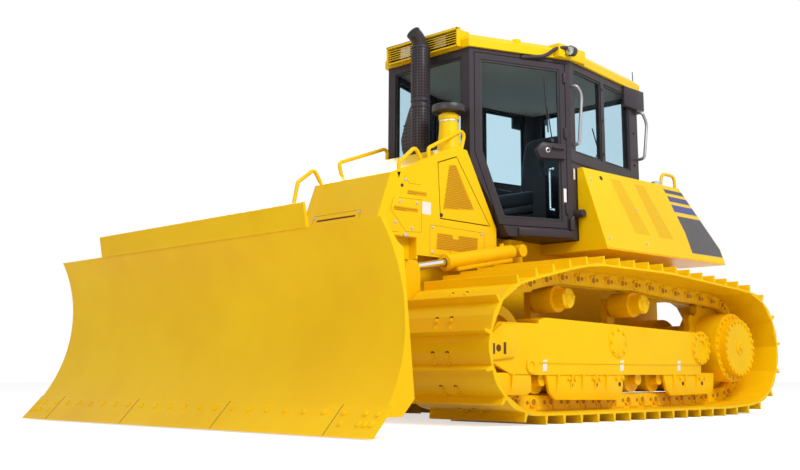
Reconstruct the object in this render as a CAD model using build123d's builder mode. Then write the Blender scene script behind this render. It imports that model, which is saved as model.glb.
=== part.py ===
"""Low-ground-pressure crawler dozer with a power-angle-tilt blade and a rear cooling package.

X points forward to the blade, Y to the operator's left and Z up. The origin is on the
ground at the middle of the bounding box. Lengths are in millimetres.
"""

import os
from math import atan2, ceil, cos, degrees, hypot, pi, radians, sin

from build123d import *

os.makedirs("parts", exist_ok=True)

# ---------------------------------------------------------------- driving dimensions
FRONT = 2740  # cutting edge
REAR = -2740  # drawbar tip
GAUGE_HALF = 1070  # track centre line from the middle of the machine
SHOE_WIDTH = 860
LINK_PITCH = 190

SPROCKET = (-2015, 555)  # x, z of the sprocket and final drive
IDLER = (905, 505)
SPROCKET_PITCH_R = 397
IDLER_PITCH_R = 362
CARRIERS = ((195, 870), (-775, 870))  # x, z
CARRIER_R = 97
ROLLER_Z = 293
ROLLER_R = 100
ROLLER_XS = [-1590 + 296 * n for n in range(8)]
TREAD_GAP = 15  # rail to carrier roller, so that flat links clear the round treads

LINK_ABOVE = 65  # pin line out to the shoe plate
LINK_BELOW = 48  # pin line in to the rail's tread
PLATE = 16
GROUSER = 57

HULL_HALF = 400
HULL_BOTTOM = 430
HULL_TOP = 1400  # under the cab
ENGINE_DECK = 1250

TRUNNION = (-420, 520)  # x, z of the push frame's hinge
ARM_IN, ARM_OUT = 480, 590
ARM_LOW, ARM_HIGH = 440, 600
SWIVEL_X = 2110
SWIVEL_FACE = 2290  # the blade's back slides round on this face
PIN_R = 45
RUNNING = 0.05  # radial clearance on a turning pin

LIFT_REAR = (-65, 1290)  # x, z of the lift cylinder's rear pin
LIFT_FRONT = (1145, 1070)
LIFT_Y = 573  # between the cowl's side and the track

ANGLE_REAR = (1330, 575)  # x, y of the angle cylinder's rear pin
ANGLE_FRONT = (2165, 430)
ANGLE_Z = 690

TILT_BLADE = (640, 830)  # y, z of the tilt cylinder's eye on the blade
TILT_TOWER = (-30, 830)  # y, z of its pin on the swivel
TILT_X = 2225
TILT_PIN_Z = 520

BLADE_HALF_LOW, BLADE_HALF_HIGH = 1930, 1800
BLADE_TOP = 1170
BLADE_CLEAR = 8  # cutting edge above the ground

COWL_HALF = 505
SKIN = 25

CAB_A = (380, 470)  # x, y of the front pillar, then the middle and rear ones
CAB_B = (-495, 800)
CAB_C = (-1760, 612)
CAB_WALL = 55
CAB_LOW, CAB_HIGH = 1460, 2905
DOOR_HINGE = (-452, 797)


# ---------------------------------------------------------------- helpers
def side(y):
    """Plane facing the machine's right, drawn in x and z."""
    return Plane((0, y, 0), x_dir=(1, 0, 0), z_dir=(0, -1, 0))


def front(x):
    """Plane facing forward, drawn in y and z."""
    return Plane((x, 0, 0), x_dir=(0, 1, 0), z_dir=(1, 0, 0))


def slab(points, y_low, y_high, mode=Mode.ADD):
    """An (x, z) outline carried across the machine."""
    with BuildSketch(side(y_high)) as outline:
        with BuildLine():
            Polyline(*points, close=True)
        make_face()
    extrude(outline.sketch, amount=y_high - y_low, mode=mode)


def layer(points, z_low, z_high, mode=Mode.ADD):
    """An (x, y) outline carried upwards."""
    with BuildSketch(Plane.XY.offset(z_low)) as outline:
        with BuildLine():
            Polyline(*points, close=True)
        make_face()
    extrude(outline.sketch, amount=z_high - z_low, mode=mode)


def bulkhead(points, x_low, x_high, mode=Mode.ADD):
    """A (y, z) outline carried forward."""
    with BuildSketch(front(x_low)) as outline:
        with BuildLine():
            Polyline(*points, close=True)
        make_face()
    extrude(outline.sketch, amount=x_high - x_low, mode=mode)


def block(x_low, x_high, y_low, y_high, z_low, z_high, mode=Mode.ADD):
    """A box between the given faces."""
    centre = ((x_low + x_high) / 2, (y_low + y_high) / 2, (z_low + z_high) / 2)
    with Locations(centre):
        Box(x_high - x_low, y_high - y_low, z_high - z_low, mode=mode)


def rod(start, end, radius, mode=Mode.ADD):
    """A round bar between two points."""
    start, end = Vector(*start), Vector(*end)
    with BuildSketch(Plane(start, z_dir=end - start)) as circle:
        Circle(radius)
    extrude(circle.sketch, amount=(end - start).length, mode=mode)


def disc(x, z, radius, y_low, y_high, mode=Mode.ADD):
    """A round bar across the machine."""
    rod((x, y_low, z), (x, y_high, z), radius, mode)


def tube(points, radius, bend):
    """A bent handrail through the given points."""
    with BuildLine() as path:
        FilletPolyline(*points, radius=bend)
    with BuildSketch(Plane(path.line @ 0, z_dir=path.line % 0)) as circle:
        Circle(radius)
    sweep(circle.sketch, path=path.line)


def both_sides():
    """Repeat what the current part holds on the other side of the machine."""
    mirror(about=Plane.XZ)


def save(piece, name):
    """Label a finished piece and write its file."""
    piece.part.label = name
    export_step(piece.part, f"parts/{name}.step")


# ---------------------------------------------------------------- track path
def belt_path(wheels, pitch):
    """Pins along a belt round wheels given anticlockwise as x, z, radius.

    Returns x, z and the heading of each pin's outward normal.
    """
    legs = []
    count = len(wheels)
    for n, (x0, z0, r0) in enumerate(wheels):
        x1, z1, r1 = wheels[(n + 1) % count]
        span = hypot(x1 - x0, z1 - z0)
        # The outer tangent's normal, on the right of the direction of travel.
        length = (span**2 - (r1 - r0) ** 2) ** 0.5
        normal = atan2(z1 - z0, x1 - x0) - pi / 2 + atan2(r0 - r1, length)
        legs.append((normal, length))
    runs = []
    for n, (x0, z0, r0) in enumerate(wheels):
        before, after = legs[n - 1][0], legs[n][0]
        turn = (after - before) % (2 * pi)
        runs.append(("arc", x0, z0, r0, before, turn))
        runs.append(("line", x0, z0, r0, after, legs[n][1]))
    total = sum(r[3] * r[5] if r[0] == "arc" else r[5] for r in runs)
    links = round(total / pitch)
    step = total / links
    pins, along = [], 0.0
    for kind, x0, z0, r0, heading, extent in runs:
        length = r0 * extent if kind == "arc" else extent
        first = ceil(along / step - 1e-9)
        while first * step < along + length - 1e-6:
            s = first * step - along
            if kind == "arc":
                angle = heading + s / r0
                pins.append((x0 + r0 * cos(angle), z0 + r0 * sin(angle), angle))
            else:
                x = x0 + r0 * cos(heading) - s * sin(heading)
                z = z0 + r0 * sin(heading) + s * cos(heading)
                pins.append((x, z, heading))
            first += 1
        along += length
    return pins


PITCH_ABOVE_GROUND = LINK_ABOVE + PLATE + GROUSER
WHEELS = (  # x, z, pitch radius, anticlockwise seen from the machine's right
    (ROLLER_XS[0], ROLLER_Z, ROLLER_Z - PITCH_ABOVE_GROUND),
    (ROLLER_XS[-1], ROLLER_Z, ROLLER_Z - PITCH_ABOVE_GROUND),
    (*IDLER, IDLER_PITCH_R),
    (*CARRIERS[0], CARRIER_R + LINK_BELOW + TREAD_GAP),
    (*CARRIERS[1], CARRIER_R + LINK_BELOW + TREAD_GAP),
    (*SPROCKET, SPROCKET_PITCH_R),
)
PINS = belt_path(WHEELS, LINK_PITCH)


def chords():
    """Each link's start, direction and outward normal, pin to pin."""
    for n, (x0, z0, _) in enumerate(PINS):
        x1, z1, _ = PINS[(n + 1) % len(PINS)]
        length = hypot(x1 - x0, z1 - z0)
        yield x0, z0, (x1 - x0) / length, (z1 - z0) / length, length


def belt_outline(profile):
    """Points of a closed outline that repeats (share along the link, height) on each link."""
    points = []
    for x, z, dx, dz, length in chords():
        for share, height in profile:
            points.append((x + dx * length * share + dz * height, z + dz * length * share - dx * height))
    return points


def make_track(name, y_mid):
    """One closed loop of shoes on its twin-rail chain."""
    shoe = ((0.03, LINK_ABOVE + PLATE), (0.30, LINK_ABOVE + PLATE), (0.34, LINK_ABOVE + PLATE + GROUSER),
            (0.42, LINK_ABOVE + PLATE + GROUSER), (0.46, LINK_ABOVE + PLATE), (0.97, LINK_ABOVE + PLATE))
    with BuildPart() as track:
        slab(belt_outline(shoe), y_mid - SHOE_WIDTH / 2, y_mid + SHOE_WIDTH / 2)
        slab(belt_outline(((0.5, LINK_ABOVE),)), y_mid - 500, y_mid + 500, Mode.SUBTRACT)
        for rail in (-66, 66):
            with BuildSketch(side(y_mid + rail + 22)) as loop:
                with BuildLine():
                    Polyline(*belt_outline(((0.5, LINK_ABOVE + 6),)), close=True)
                make_face()
                with BuildLine():
                    Polyline(*belt_outline(((0.25, -LINK_BELOW), (0.75, -LINK_BELOW))), close=True)
                make_face(mode=Mode.SUBTRACT)
            extrude(loop.sketch, amount=44)
    save(track, name)


make_track("track_left", GAUGE_HALF)
make_track("track_right", -GAUGE_HALF)


# ---------------------------------------------------------------- undercarriage
SPROCKET_TEETH = 13


def sprocket_outline():
    """Teeth whose roots fit the chain's bushings."""
    phase = min(PINS, key=lambda pin: hypot(pin[0] - SPROCKET[0] + SPROCKET_PITCH_R, pin[1] - SPROCKET[1]))[2]
    points = []
    for n in range(SPROCKET_TEETH):
        for share, radius in ((0.14, 352), (0.36, 404), (0.64, 404), (0.86, 352)):
            angle = phase + 2 * pi * (n + share) / SPROCKET_TEETH
            points.append((SPROCKET[0] + radius * cos(angle), SPROCKET[1] + radius * sin(angle)))
    return points


with BuildPart() as sprockets:
    slab(sprocket_outline(), GAUGE_HALF - 30, GAUGE_HALF + 30)
    disc(*SPROCKET, 288, GAUGE_HALF - 40, GAUGE_HALF + 40, Mode.SUBTRACT)
    both_sides()
save(sprockets, "sprockets")

with BuildPart() as final_drives:
    disc(*SPROCKET, 330, GAUGE_HALF - 90, GAUGE_HALF - 30)
    disc(*SPROCKET, 200, 640, GAUGE_HALF - 90)
    disc(*SPROCKET, 260, 400, 640)
    disc(*SPROCKET, 288, GAUGE_HALF - 30, 1330)
    disc(*SPROCKET, 238, 1330, 1390)
    both_sides()
save(final_drives, "final_drives")

with BuildPart() as idlers:
    disc(*IDLER, IDLER_PITCH_R - LINK_BELOW - 15, GAUGE_HALF - 92, GAUGE_HALF + 92)
    disc(*IDLER, IDLER_PITCH_R - 35, GAUGE_HALF - 32, GAUGE_HALF + 32)
    for face in (-92, 52):
        disc(*IDLER, 230, GAUGE_HALF + face, GAUGE_HALF + face + 40, Mode.SUBTRACT)
    disc(*IDLER, 70, GAUGE_HALF - 140, GAUGE_HALF + 140)
    both_sides()
save(idlers, "idlers")

with BuildPart() as track_rollers:
    for x in ROLLER_XS:
        disc(x, ROLLER_Z, ROLLER_R, GAUGE_HALF - 96, GAUGE_HALF + 96)
        disc(x, ROLLER_Z, 45, 920, 1230)
    both_sides()
save(track_rollers, "track_rollers")

with BuildPart() as carrier_rollers:
    for x, z in CARRIERS:
        disc(x, z, CARRIER_R, GAUGE_HALF - 95, GAUGE_HALF + 95)
        disc(x, z, CARRIER_R - 25, GAUGE_HALF + 95, GAUGE_HALF + 190)
        disc(x, z, 45, GAUGE_HALF - 190, GAUGE_HALF - 95)
    both_sides()
save(carrier_rollers, "carrier_rollers")

FRAME_IN, FRAME_OUT = 880, 1270
FRAME_LOW, FRAME_HIGH = 400, 690
with BuildPart() as track_frames:
    slab(((-1570, FRAME_LOW), (560, FRAME_LOW), (560, 700), (480, 720), (-1500, 670), (-1570, 640)), FRAME_IN, FRAME_OUT)
    slab(((-1570, 325), (640, 325), (640, FRAME_LOW), (-1570, FRAME_LOW)), FRAME_OUT - 40, FRAME_OUT)
    slab(((-1570, 325), (640, 325), (640, FRAME_LOW), (-1570, FRAME_LOW)), FRAME_IN, FRAME_IN + 40)
    for y in (FRAME_IN, FRAME_OUT - 30):  # yoke plates beside the idler
        slab(((560, 330), (860, 330), (1060, 410), (1060, 610), (980, 676), (560, 676)), y, y + 30)
        disc(*IDLER, 70, y - 1, y + 31, Mode.SUBTRACT)
    for x, z in CARRIERS:  # carrier roller posts on the inner side
        block(x - 50, x + 50, FRAME_IN, FRAME_IN + 60, 640, z + 60)
        disc(x, z, 45, FRAME_IN - 1, FRAME_IN + 61, Mode.SUBTRACT)
    both_sides()
save(track_frames, "track_frames")

with BuildPart() as roller_guards:
    for x_low, x_high in ((640, 1180), (-445, 505), (-1570, -994)):
        slab(((x_low, 200), (x_high, 200), (x_high - 30, 325), (x_low + 30, 325)), FRAME_OUT - 30, FRAME_OUT)
    both_sides()
save(roller_guards, "roller_guards")

EQUALIZER_X = -760
with BuildPart() as suspension_bars:
    block(EQUALIZER_X - 90, EQUALIZER_X + 90, -FRAME_IN, FRAME_IN, 540, 690)
    rod((-1420, HULL_HALF, 540), (-1420, FRAME_IN, 540), 70)
    rod((-1420, -HULL_HALF, 540), (-1420, -FRAME_IN, 540), 70)
save(suspension_bars, "suspension_bars")

# ---------------------------------------------------------------- hull
with BuildPart() as main_frame:
    slab(((-2300, 470), (-1900, HULL_BOTTOM), (900, HULL_BOTTOM), (1200, 640), (1200, 1000), (1150, ENGINE_DECK),
          (150, ENGINE_DECK), (100, HULL_TOP), (-1780, HULL_TOP), (-2300, 1380)), -HULL_HALF, HULL_HALF)
    block(EQUALIZER_X - 95, EQUALIZER_X + 95, -500, 500, 400, 690, Mode.SUBTRACT)
    for turn in (-1, 1):
        disc(*TRUNNION, PIN_R, *sorted((turn * HULL_HALF, turn * (ARM_OUT + 8))))
        disc(*TRUNNION, 62, *sorted((turn * (ARM_OUT + 8), turn * (ARM_OUT + 24))))
        # Rear carrier of the lift cylinder: a boss out from the hull, its pin and the pin's cap.
        block(-170, -10, *sorted((turn * HULL_HALF, turn * (LIFT_Y - 42))), 1200, 1380)
        disc(*LIFT_REAR, 22, *sorted((turn * (LIFT_Y - 45), turn * (LIFT_Y + 42))))
        disc(*LIFT_REAR, 50, *sorted((turn * (LIFT_Y + 42), turn * (LIFT_Y + 54))))
    with Locations(Plane((-2300, 0, 780), x_dir=(0, 1, 0), z_dir=(-1, 0, 0))):
        with GridLocations(480, 360, 2, 2):
            Hole(13, depth=45)
save(main_frame, "main_frame")

with BuildPart() as drawbar:
    layer(((-2290, -150), (-2560, -95), (-2740, -95), (-2740, 95), (-2560, 95), (-2290, 150)), 500, 560)
    block(-2330, -2300, -170, 170, 470, 680)
    block(-2330, -2280, -200, 200, 400, 700, Mode.SUBTRACT)
    block(-2330, -2300, -170, 170, 470, 680)
    with Locations((-2660, 0, 560)):
        Hole(26)
save(drawbar, "drawbar")

# ---------------------------------------------------------------- engine end
COWL = ((117, 1455), (117, 1180), (1000, 1180), (1000, 1869), (613, 2045), (454, 2040))  # x, z
NOSE = ((1000, 1180), (1295, 1180), (1403, 1226), (1195, 1780), (1000, 1869))
DOOR_PANEL = ((781, 1900), (570, 1975), (186, 1465), (754, 1470))


def inset(points, gap):
    """The same convex outline drawn in by a gap on every edge."""
    with BuildSketch() as drawn:
        with BuildLine():
            Polyline(*points, close=True)
        make_face()
        offset(amount=-gap, kind=Kind.INTERSECTION, mode=Mode.REPLACE)
    return [tuple(edge @ 0)[:2] for edge in drawn.sketch.faces()[0].outer_wire().order_edges()]


with BuildPart() as engine_cowl:
    slab(COWL, -COWL_HALF, COWL_HALF)
    slab(((92, 1500), (92, 1100), (1001, 1100), (1001, 1841), (607, 2020), (470, 2016)),
         -COWL_HALF + SKIN, COWL_HALF - SKIN, Mode.SUBTRACT)
    slab(DOOR_PANEL, -COWL_HALF - 5, COWL_HALF + 5, Mode.SUBTRACT)
save(engine_cowl, "engine_cowl")

DOOR_GAP, DOOR_SKIN = 8, 6  # the thin skin swings out of its opening about the rear edge
for label, right in (("left", False), ("right", True)):
    with BuildPart() as engine_door:
        slab(inset(DOOR_PANEL, DOOR_GAP), COWL_HALF - DOOR_SKIN, COWL_HALF)
        slab(inset(DOOR_PANEL, 55), COWL_HALF - SKIN, COWL_HALF)
        if right:
            mirror(about=Plane.XZ, mode=Mode.REPLACE)
    save(engine_door, f"engine_door_{label}")

with BuildPart() as hood_nose:
    slab(NOSE, -COWL_HALF, COWL_HALF)
    for turn in (-1, 1):
        bulkhead(((turn * 430, 1100), (turn * 600, 1100), (turn * 600, 1330), (turn * 430, 1290)), 1000, 1500, Mode.SUBTRACT)
    lean = Vector(NOSE[2][0] - NOSE[3][0], 0, NOSE[2][1] - NOSE[3][1]).normalized()
    for turn in (-1, 1):
        corner = Vector(NOSE[3][0], turn * COWL_HALF, NOSE[3][1]) - lean * 100
        with BuildSketch(Plane(corner, x_dir=(0, turn, 0), z_dir=lean)) as bevel:
            with BuildLine():
                Polyline((10, 10 * turn), (-85, 10 * turn), (10, -85 * turn), close=True)
            make_face()
        extrude(bevel.sketch, amount=900, mode=Mode.SUBTRACT)
    block(900, 1201, -HULL_HALF - 10, HULL_HALF + 10, 1100, ENGINE_DECK, Mode.SUBTRACT)
    block(900, 1160, -COWL_HALF + SKIN, COWL_HALF - SKIN, 1100, 1780, Mode.SUBTRACT)
save(hood_nose, "hood_nose")

with BuildPart() as engine_block:
    block(330, 1140, -300, 300, ENGINE_DECK, 1740)
save(engine_block, "engine_block")

STACK = (513, 50)  # x, y
with BuildPart() as exhaust_stack:
    rod((*STACK, 2055), (*STACK, 2960), 78)
    rod((*STACK, 2960), (STACK[0] + 70, STACK[1], 3100), 60)
save(exhaust_stack, "exhaust_stack")

PRECLEANER = (530, 385)  # x, y
with BuildPart() as air_precleaner:
    rod((*PRECLEANER, 2050), (*PRECLEANER, 2340), 60)
    rod((*PRECLEANER, 2340), (*PRECLEANER, 2425), 135)
save(air_precleaner, "air_precleaner")

HANDRAILS = (  # y, then x, z from foot to foot
    (-410, ((1345, 1340), (1430, 1560), (1385, 1784), (1227, 1904), (1150, 1790))),
    (-430, ((925, 1890), (958, 1997), (420, 2200), (440, 2030))),
    (430, ((1115, 1805), (1110, 1862), (945, 2003), (880, 1915))),
    (470, ((840, 1935), (845, 2003), (430, 2222), (485, 2030))),
)
with BuildPart() as handrails:
    for y, bends in HANDRAILS:
        tube([(x, y, z) for x, z in bends], 15, 35)
    add(engine_cowl.part, mode=Mode.SUBTRACT)
    add(hood_nose.part, mode=Mode.SUBTRACT)
save(handrails, "handrails")

# ---------------------------------------------------------------- cab
HEX = (CAB_A, CAB_B, CAB_C, (CAB_C[0], -CAB_C[1]), (CAB_B[0], -CAB_B[1]), (CAB_A[0], -CAB_A[1]))


def face_plane(start, end, out=0.0):
    """Plane on an outer cab wall, x along the wall from start to end and y up."""
    run = Vector(end[0] - start[0], end[1] - start[1], 0).normalized()
    normal = run.cross(Vector(0, 0, 1))
    origin = Vector(start[0], start[1], 0) + normal * out
    return Plane(origin, x_dir=run, z_dir=normal)


def wall_piece(plane, points, depth, mode=Mode.ADD):
    """An outline on a wall's outer face carried inwards."""
    with BuildSketch(plane) as outline:
        with BuildLine():
            Polyline(*points, close=True)
        make_face()
    extrude(outline.sketch, amount=-depth, mode=mode)


def wall_length(start, end):
    return hypot(end[0] - start[0], end[1] - start[1])


DOOR_LENGTH = wall_length(CAB_A, CAB_B)
SIDE_LENGTH = wall_length(CAB_B, CAB_C)
DOOR_OUTLINE = ((40, 2870), (40, 2050), (255, 1480), (DOOR_LENGTH - 45, 1480), (DOOR_LENGTH - 45, 2870))
DOOR_WINDOW = ((95, 2815), (95, 2062), (292, 1540), (DOOR_LENGTH - 100, 1540), (DOOR_LENGTH - 100, 2815))
# Seen from outside a left wall runs backwards and a right wall forwards.
LEFT_DOOR_PLANE = Plane(Vector(*CAB_A, 0), x_dir=Vector(CAB_B[0] - CAB_A[0], CAB_B[1] - CAB_A[1], 0),
                        z_dir=Vector(CAB_B[1] - CAB_A[1], CAB_A[0] - CAB_B[0], 0))
LEFT_SIDE_PLANE = Plane(Vector(*CAB_B, 0), x_dir=Vector(CAB_C[0] - CAB_B[0], CAB_C[1] - CAB_B[1], 0),
                        z_dir=Vector(CAB_C[1] - CAB_B[1], CAB_B[0] - CAB_C[0], 0))
SIDE_WINDOWS = (  # low and high distance behind the middle pillar
    (70, 560), (610, SIDE_LENGTH - 170))
WINDOW_LOW, WINDOW_HIGH = 2130, 2840
FRONT_WINDOW = (-385, 385, 2090, 2840)  # y low, y high, z low, z high
REAR_WINDOW = (-480, 480, 2130, 2840)


def window(low, high):
    return ((low, WINDOW_LOW), (high, WINDOW_LOW), (high, WINDOW_HIGH), (low, WINDOW_HIGH))


# The cab's foot slopes back over the engine, parallel to the cowl's rear edge.
FIREWALL = ((95, 1455), (432, 2040))  # x, z
FIREWALL_DEPTH = 45
SLOPE = (FIREWALL[1][0] - FIREWALL[0][0]) / (FIREWALL[1][1] - FIREWALL[0][1])


def ahead_of_firewall(back):
    """Outline of what lies ahead of the firewall moved back by a distance along x."""
    low, high = 1390, 2300
    x_low = FIREWALL[0][0] + (low - FIREWALL[0][1]) * SLOPE - back
    x_high = FIREWALL[0][0] + (high - FIREWALL[0][1]) * SLOPE - back
    return ((x_low, low), (x_low + 900, low), (x_high, high))


with BuildPart() as cab_room:
    layer(inset(HEX, CAB_WALL), CAB_LOW, CAB_HIGH + 1)
    slab(ahead_of_firewall(FIREWALL_DEPTH), -900, 900, Mode.SUBTRACT)
with BuildPart() as cab_shell:
    layer(HEX, CAB_LOW - 60, CAB_HIGH)
    slab(ahead_of_firewall(0), -900, 900, Mode.SUBTRACT)
    add(cab_room.part, mode=Mode.SUBTRACT)
    wall_piece(LEFT_DOOR_PLANE.offset(1), DOOR_OUTLINE, CAB_WALL + 20, Mode.SUBTRACT)
    for low, high in SIDE_WINDOWS:
        wall_piece(LEFT_SIDE_PLANE.offset(1), window(low, high), CAB_WALL + 20, Mode.SUBTRACT)
    # The machine's right side is the same, so the left half is kept and mirrored.
    split(bisect_by=Plane.XZ, keep=Keep.BOTTOM)
    both_sides()
    block(CAB_A[0] - 100, CAB_A[0] + 10, *FRONT_WINDOW, Mode.SUBTRACT)
    block(CAB_C[0] - 10, CAB_C[0] + 100, *REAR_WINDOW, Mode.SUBTRACT)
save(cab_shell, "cab_shell")

with BuildPart() as cab_glass:
    for low, high in SIDE_WINDOWS:
        wall_piece(LEFT_SIDE_PLANE.offset(-20), window(low, high), 8)
    both_sides()
    block(CAB_A[0] - 28, CAB_A[0] - 20, *FRONT_WINDOW)
    block(CAB_C[0] + 20, CAB_C[0] + 28, *REAR_WINDOW)
save(cab_glass, "cab_glass")

DOOR_SHAPE = ((46, 2864), (46, 2051), (259, 1486), (DOOR_LENGTH - 51, 1486), (DOOR_LENGTH - 51, 2864))
for label, right in (("left", False), ("right", True)):
    with BuildPart() as cab_door:
        wall_piece(LEFT_DOOR_PLANE, DOOR_SHAPE, 45)
        wall_piece(LEFT_DOOR_PLANE.offset(1), DOOR_WINDOW, 50, Mode.SUBTRACT)
        if right:
            mirror(about=Plane.XZ, mode=Mode.REPLACE)
    save(cab_door, f"cab_door_{label}")
    with BuildPart() as door_glass:
        wall_piece(LEFT_DOOR_PLANE.offset(-18), DOOR_WINDOW, 8)
        if right:
            mirror(about=Plane.XZ, mode=Mode.REPLACE)
    save(door_glass, f"door_glass_{label}")

with BuildPart() as cab_roof:
    with BuildSketch(Plane.XY.offset(CAB_HIGH)) as eaves:
        with BuildLine():
            Polyline(*HEX, close=True)
        make_face()
        offset(amount=25, kind=Kind.INTERSECTION, mode=Mode.REPLACE)
    extrude(eaves.sketch, amount=110)
    chamfer(cab_roof.faces().sort_by(Axis.Z)[-1].edges(), 45)
    block(300, 420, -400, 400, CAB_HIGH + 10, CAB_HIGH + 150)
save(cab_roof, "cab_roof")

with BuildPart() as roof_lamps:
    for y in (-320, -190, 190, 320):
        block(420, 440, y - 52, y + 52, CAB_HIGH + 30, CAB_HIGH + 130)
    for y in (-560, 560):
        block(-1840, -1785, y - 60, y + 60, CAB_HIGH - 120, CAB_HIGH - 20)
save(roof_lamps, "roof_lamps")

with BuildPart() as operator_seat:
    block(-1150, -650, -260, 260, CAB_LOW, CAB_LOW + 300)
    block(-1180, -640, -270, 270, CAB_LOW + 300, CAB_LOW + 440)
    slab(((-1180, CAB_LOW + 440), (-1020, CAB_LOW + 440), (-1120, CAB_LOW + 1050), (-1270, CAB_LOW + 1050)), -250, 250)
save(operator_seat, "operator_seat")

with BuildPart() as console:
    slab(((-60, CAB_LOW), (20, CAB_LOW), (290, CAB_LOW + 560), (110, CAB_LOW + 560)), -320, 320)
    for y in (-470, 330):
        block(-1100, -560, y, y + 140, CAB_LOW, CAB_LOW + 520)
save(console, "console")

# ---------------------------------------------------------------- rear end
SIDE_SECTION = ((HULL_HALF, 1310), (1080, 1310), (850, 2000), (600, 2000), (600, 1400), (HULL_HALF, 1400))  # y, z
with BuildPart() as side_bodies:
    bulkhead(SIDE_SECTION, -2410, -570)
    slab(((-2038, 2001), (-2412, 1450), (-2412, 2001)), 300, 1200, Mode.SUBTRACT)
    block(-2500, CAB_C[0] - 20, 0, 600, 1300, 2100, Mode.SUBTRACT)
    layer(inset(HEX, -10), 1395, 2100, Mode.SUBTRACT)
    both_sides()
save(side_bodies, "side_bodies")

with BuildPart() as rear_housing:
    slab(((-1790, 1400), (-1790, 1990), (-2040, 1990), (-2330, 1560), (-2330, 1400)), -599, 599)
save(rear_housing, "rear_housing")

with BuildPart() as rear_grille_door:
    slab(((-2345, 1000), (-2345, 1560), (-2400, 1560), (-2400, 1000)), -530, 530)
save(rear_grille_door, "rear_grille_door")

# ---------------------------------------------------------------- push frame
with BuildPart() as c_frame:
    layer(((TRUNNION[0], ARM_IN), (1300, ARM_IN), (1620, 230), (1620, 0), (2170, 0), (2170, 100), (1960, 190),
           (1400, ARM_OUT), (TRUNNION[0], ARM_OUT)), ARM_LOW, ARM_HIGH)
    disc(*TRUNNION, 95, ARM_IN, ARM_OUT)
    # Bracket that the lift cylinder's rod is pinned to.
    slab(((1060, ARM_HIGH - 10), (1250, ARM_HIGH - 10), (1220, 1090), (1180, 1125), (1110, 1125), (1080, 1090)),
         LIFT_Y - 45, LIFT_Y + 45)
    block(1000, 1300, LIFT_Y - 31, LIFT_Y + 31, LIFT_FRONT[1] - 120, LIFT_FRONT[1] + 200, Mode.SUBTRACT)
    # Lug of the angle cylinder.
    rod((*ANGLE_REAR, ARM_HIGH - 5), (*ANGLE_REAR, ANGLE_Z - 30), 48)
    rod((*ANGLE_REAR, ANGLE_Z - 30), (*ANGLE_REAR, ANGLE_Z + 34), 22)
    both_sides()
    disc(*TRUNNION, PIN_R + RUNNING, -700, 700, Mode.SUBTRACT)
    # Jaw round the swivel's knuckle, with its upright pin.
    block(SWIVEL_X - 130, SWIVEL_X + 200, -300, 300, 478, 562, Mode.SUBTRACT)
    rod((SWIVEL_X, 0, ARM_LOW), (SWIVEL_X, 0, ARM_HIGH), PIN_R)
save(c_frame, "c_frame")

with BuildPart() as blade_swivel:
    rod((SWIVEL_X, 0, 484), (SWIVEL_X, 0, 556), 100)
    block(SWIVEL_X, 2215, -70, 70, 484, 556)
    block(2215, SWIVEL_FACE, -470, 470, 420, 640)
    for y in (-ANGLE_FRONT[1], ANGLE_FRONT[1]):
        for low, high in ((626, 652), (727, 746)):
            block(2110, SWIVEL_FACE, y - 50, y + 50, low, high)
        block(2262, SWIVEL_FACE, y - 50, y + 50, 620, 746)
    block(2262, SWIVEL_FACE, -85, 25, 640, 890)
    for x in (2170, 2262):
        block(x, x + 18, -85, 25, 640, 890)
    block(2170, SWIVEL_FACE, -85, 85, 606, 700)
    rod((2170, *TILT_TOWER), (SWIVEL_FACE, *TILT_TOWER), 22)
    rod((SWIVEL_X, 0, 470), (SWIVEL_X, 0, 570), PIN_R + RUNNING, Mode.SUBTRACT)
    rod((SWIVEL_FACE - 20, 0, TILT_PIN_Z), (SWIVEL_FACE + 90, 0, TILT_PIN_Z), 60)
save(blade_swivel, "blade_swivel")

# ---------------------------------------------------------------- blade
BLADE_ARC = ((2592, 170), (2424, 700), (2560, BLADE_TOP))  # x, z on the moldboard's face
MOLDBOARD = 20
with BuildPart() as blade:
    with BuildSketch(side(BLADE_HALF_LOW)) as section:
        with BuildLine():
            face = ThreePointArc(*BLADE_ARC)
            Polyline(BLADE_ARC[2], (2535, BLADE_TOP), (2440, 1040), (2330, 960), (2300, 900), (2300, 330), (2400, 200),
                     (2500, 110), (2617, 110), (2576, 155), BLADE_ARC[0])
        make_face()
    extrude(section.sketch, amount=2 * BLADE_HALF_LOW)
    taper = (BLADE_HALF_LOW - BLADE_HALF_HIGH) / BLADE_TOP
    for turn in (-1, 1):
        bulkhead(((turn * (BLADE_HALF_LOW + 1), 0), (turn * (BLADE_HALF_LOW + 300), 0), (turn * (BLADE_HALF_LOW + 300), 1300),
                  (turn * (BLADE_HALF_LOW - taper * 1300), 1300)), 2200, 2800, Mode.SUBTRACT)
        # The back narrows to the thin outer ends.
        layer(((2299, turn * 760), (2400, turn * 1500), (2400, turn * 2000), (2200, turn * 2000), (2200, turn * 760)), 0, 1300, Mode.SUBTRACT)
    rod((SWIVEL_FACE, 0, TILT_PIN_Z), (SWIVEL_FACE + 91, 0, TILT_PIN_Z), 60 + RUNNING, Mode.SUBTRACT)
    # Spill guard above the middle.
    slab(((2548, BLADE_TOP - 5), (2572, BLADE_TOP - 5), (2600, 1310), (2585, 1316)), -1180, 1180)
    # Fork that holds the tilt cylinder's eye.
    eye_y, eye_z = TILT_BLADE
    block(2165, 2310, eye_y - 50, eye_y + 50, eye_z - 95, eye_z - 55)
    for low, high in ((2165, 2190), (2260, 2310)):
        block(low, high, eye_y - 50, eye_y + 50, eye_z - 60, eye_z + 45)
save(blade, "blade")

EDGE = ((FRONT, BLADE_CLEAR), (2592, 170), (2576, 155), (2711, BLADE_CLEAR))  # x, z
with BuildPart() as cutting_edge:
    slab(EDGE, -BLADE_HALF_LOW, BLADE_HALF_LOW)
save(cutting_edge, "cutting_edge")


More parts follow.
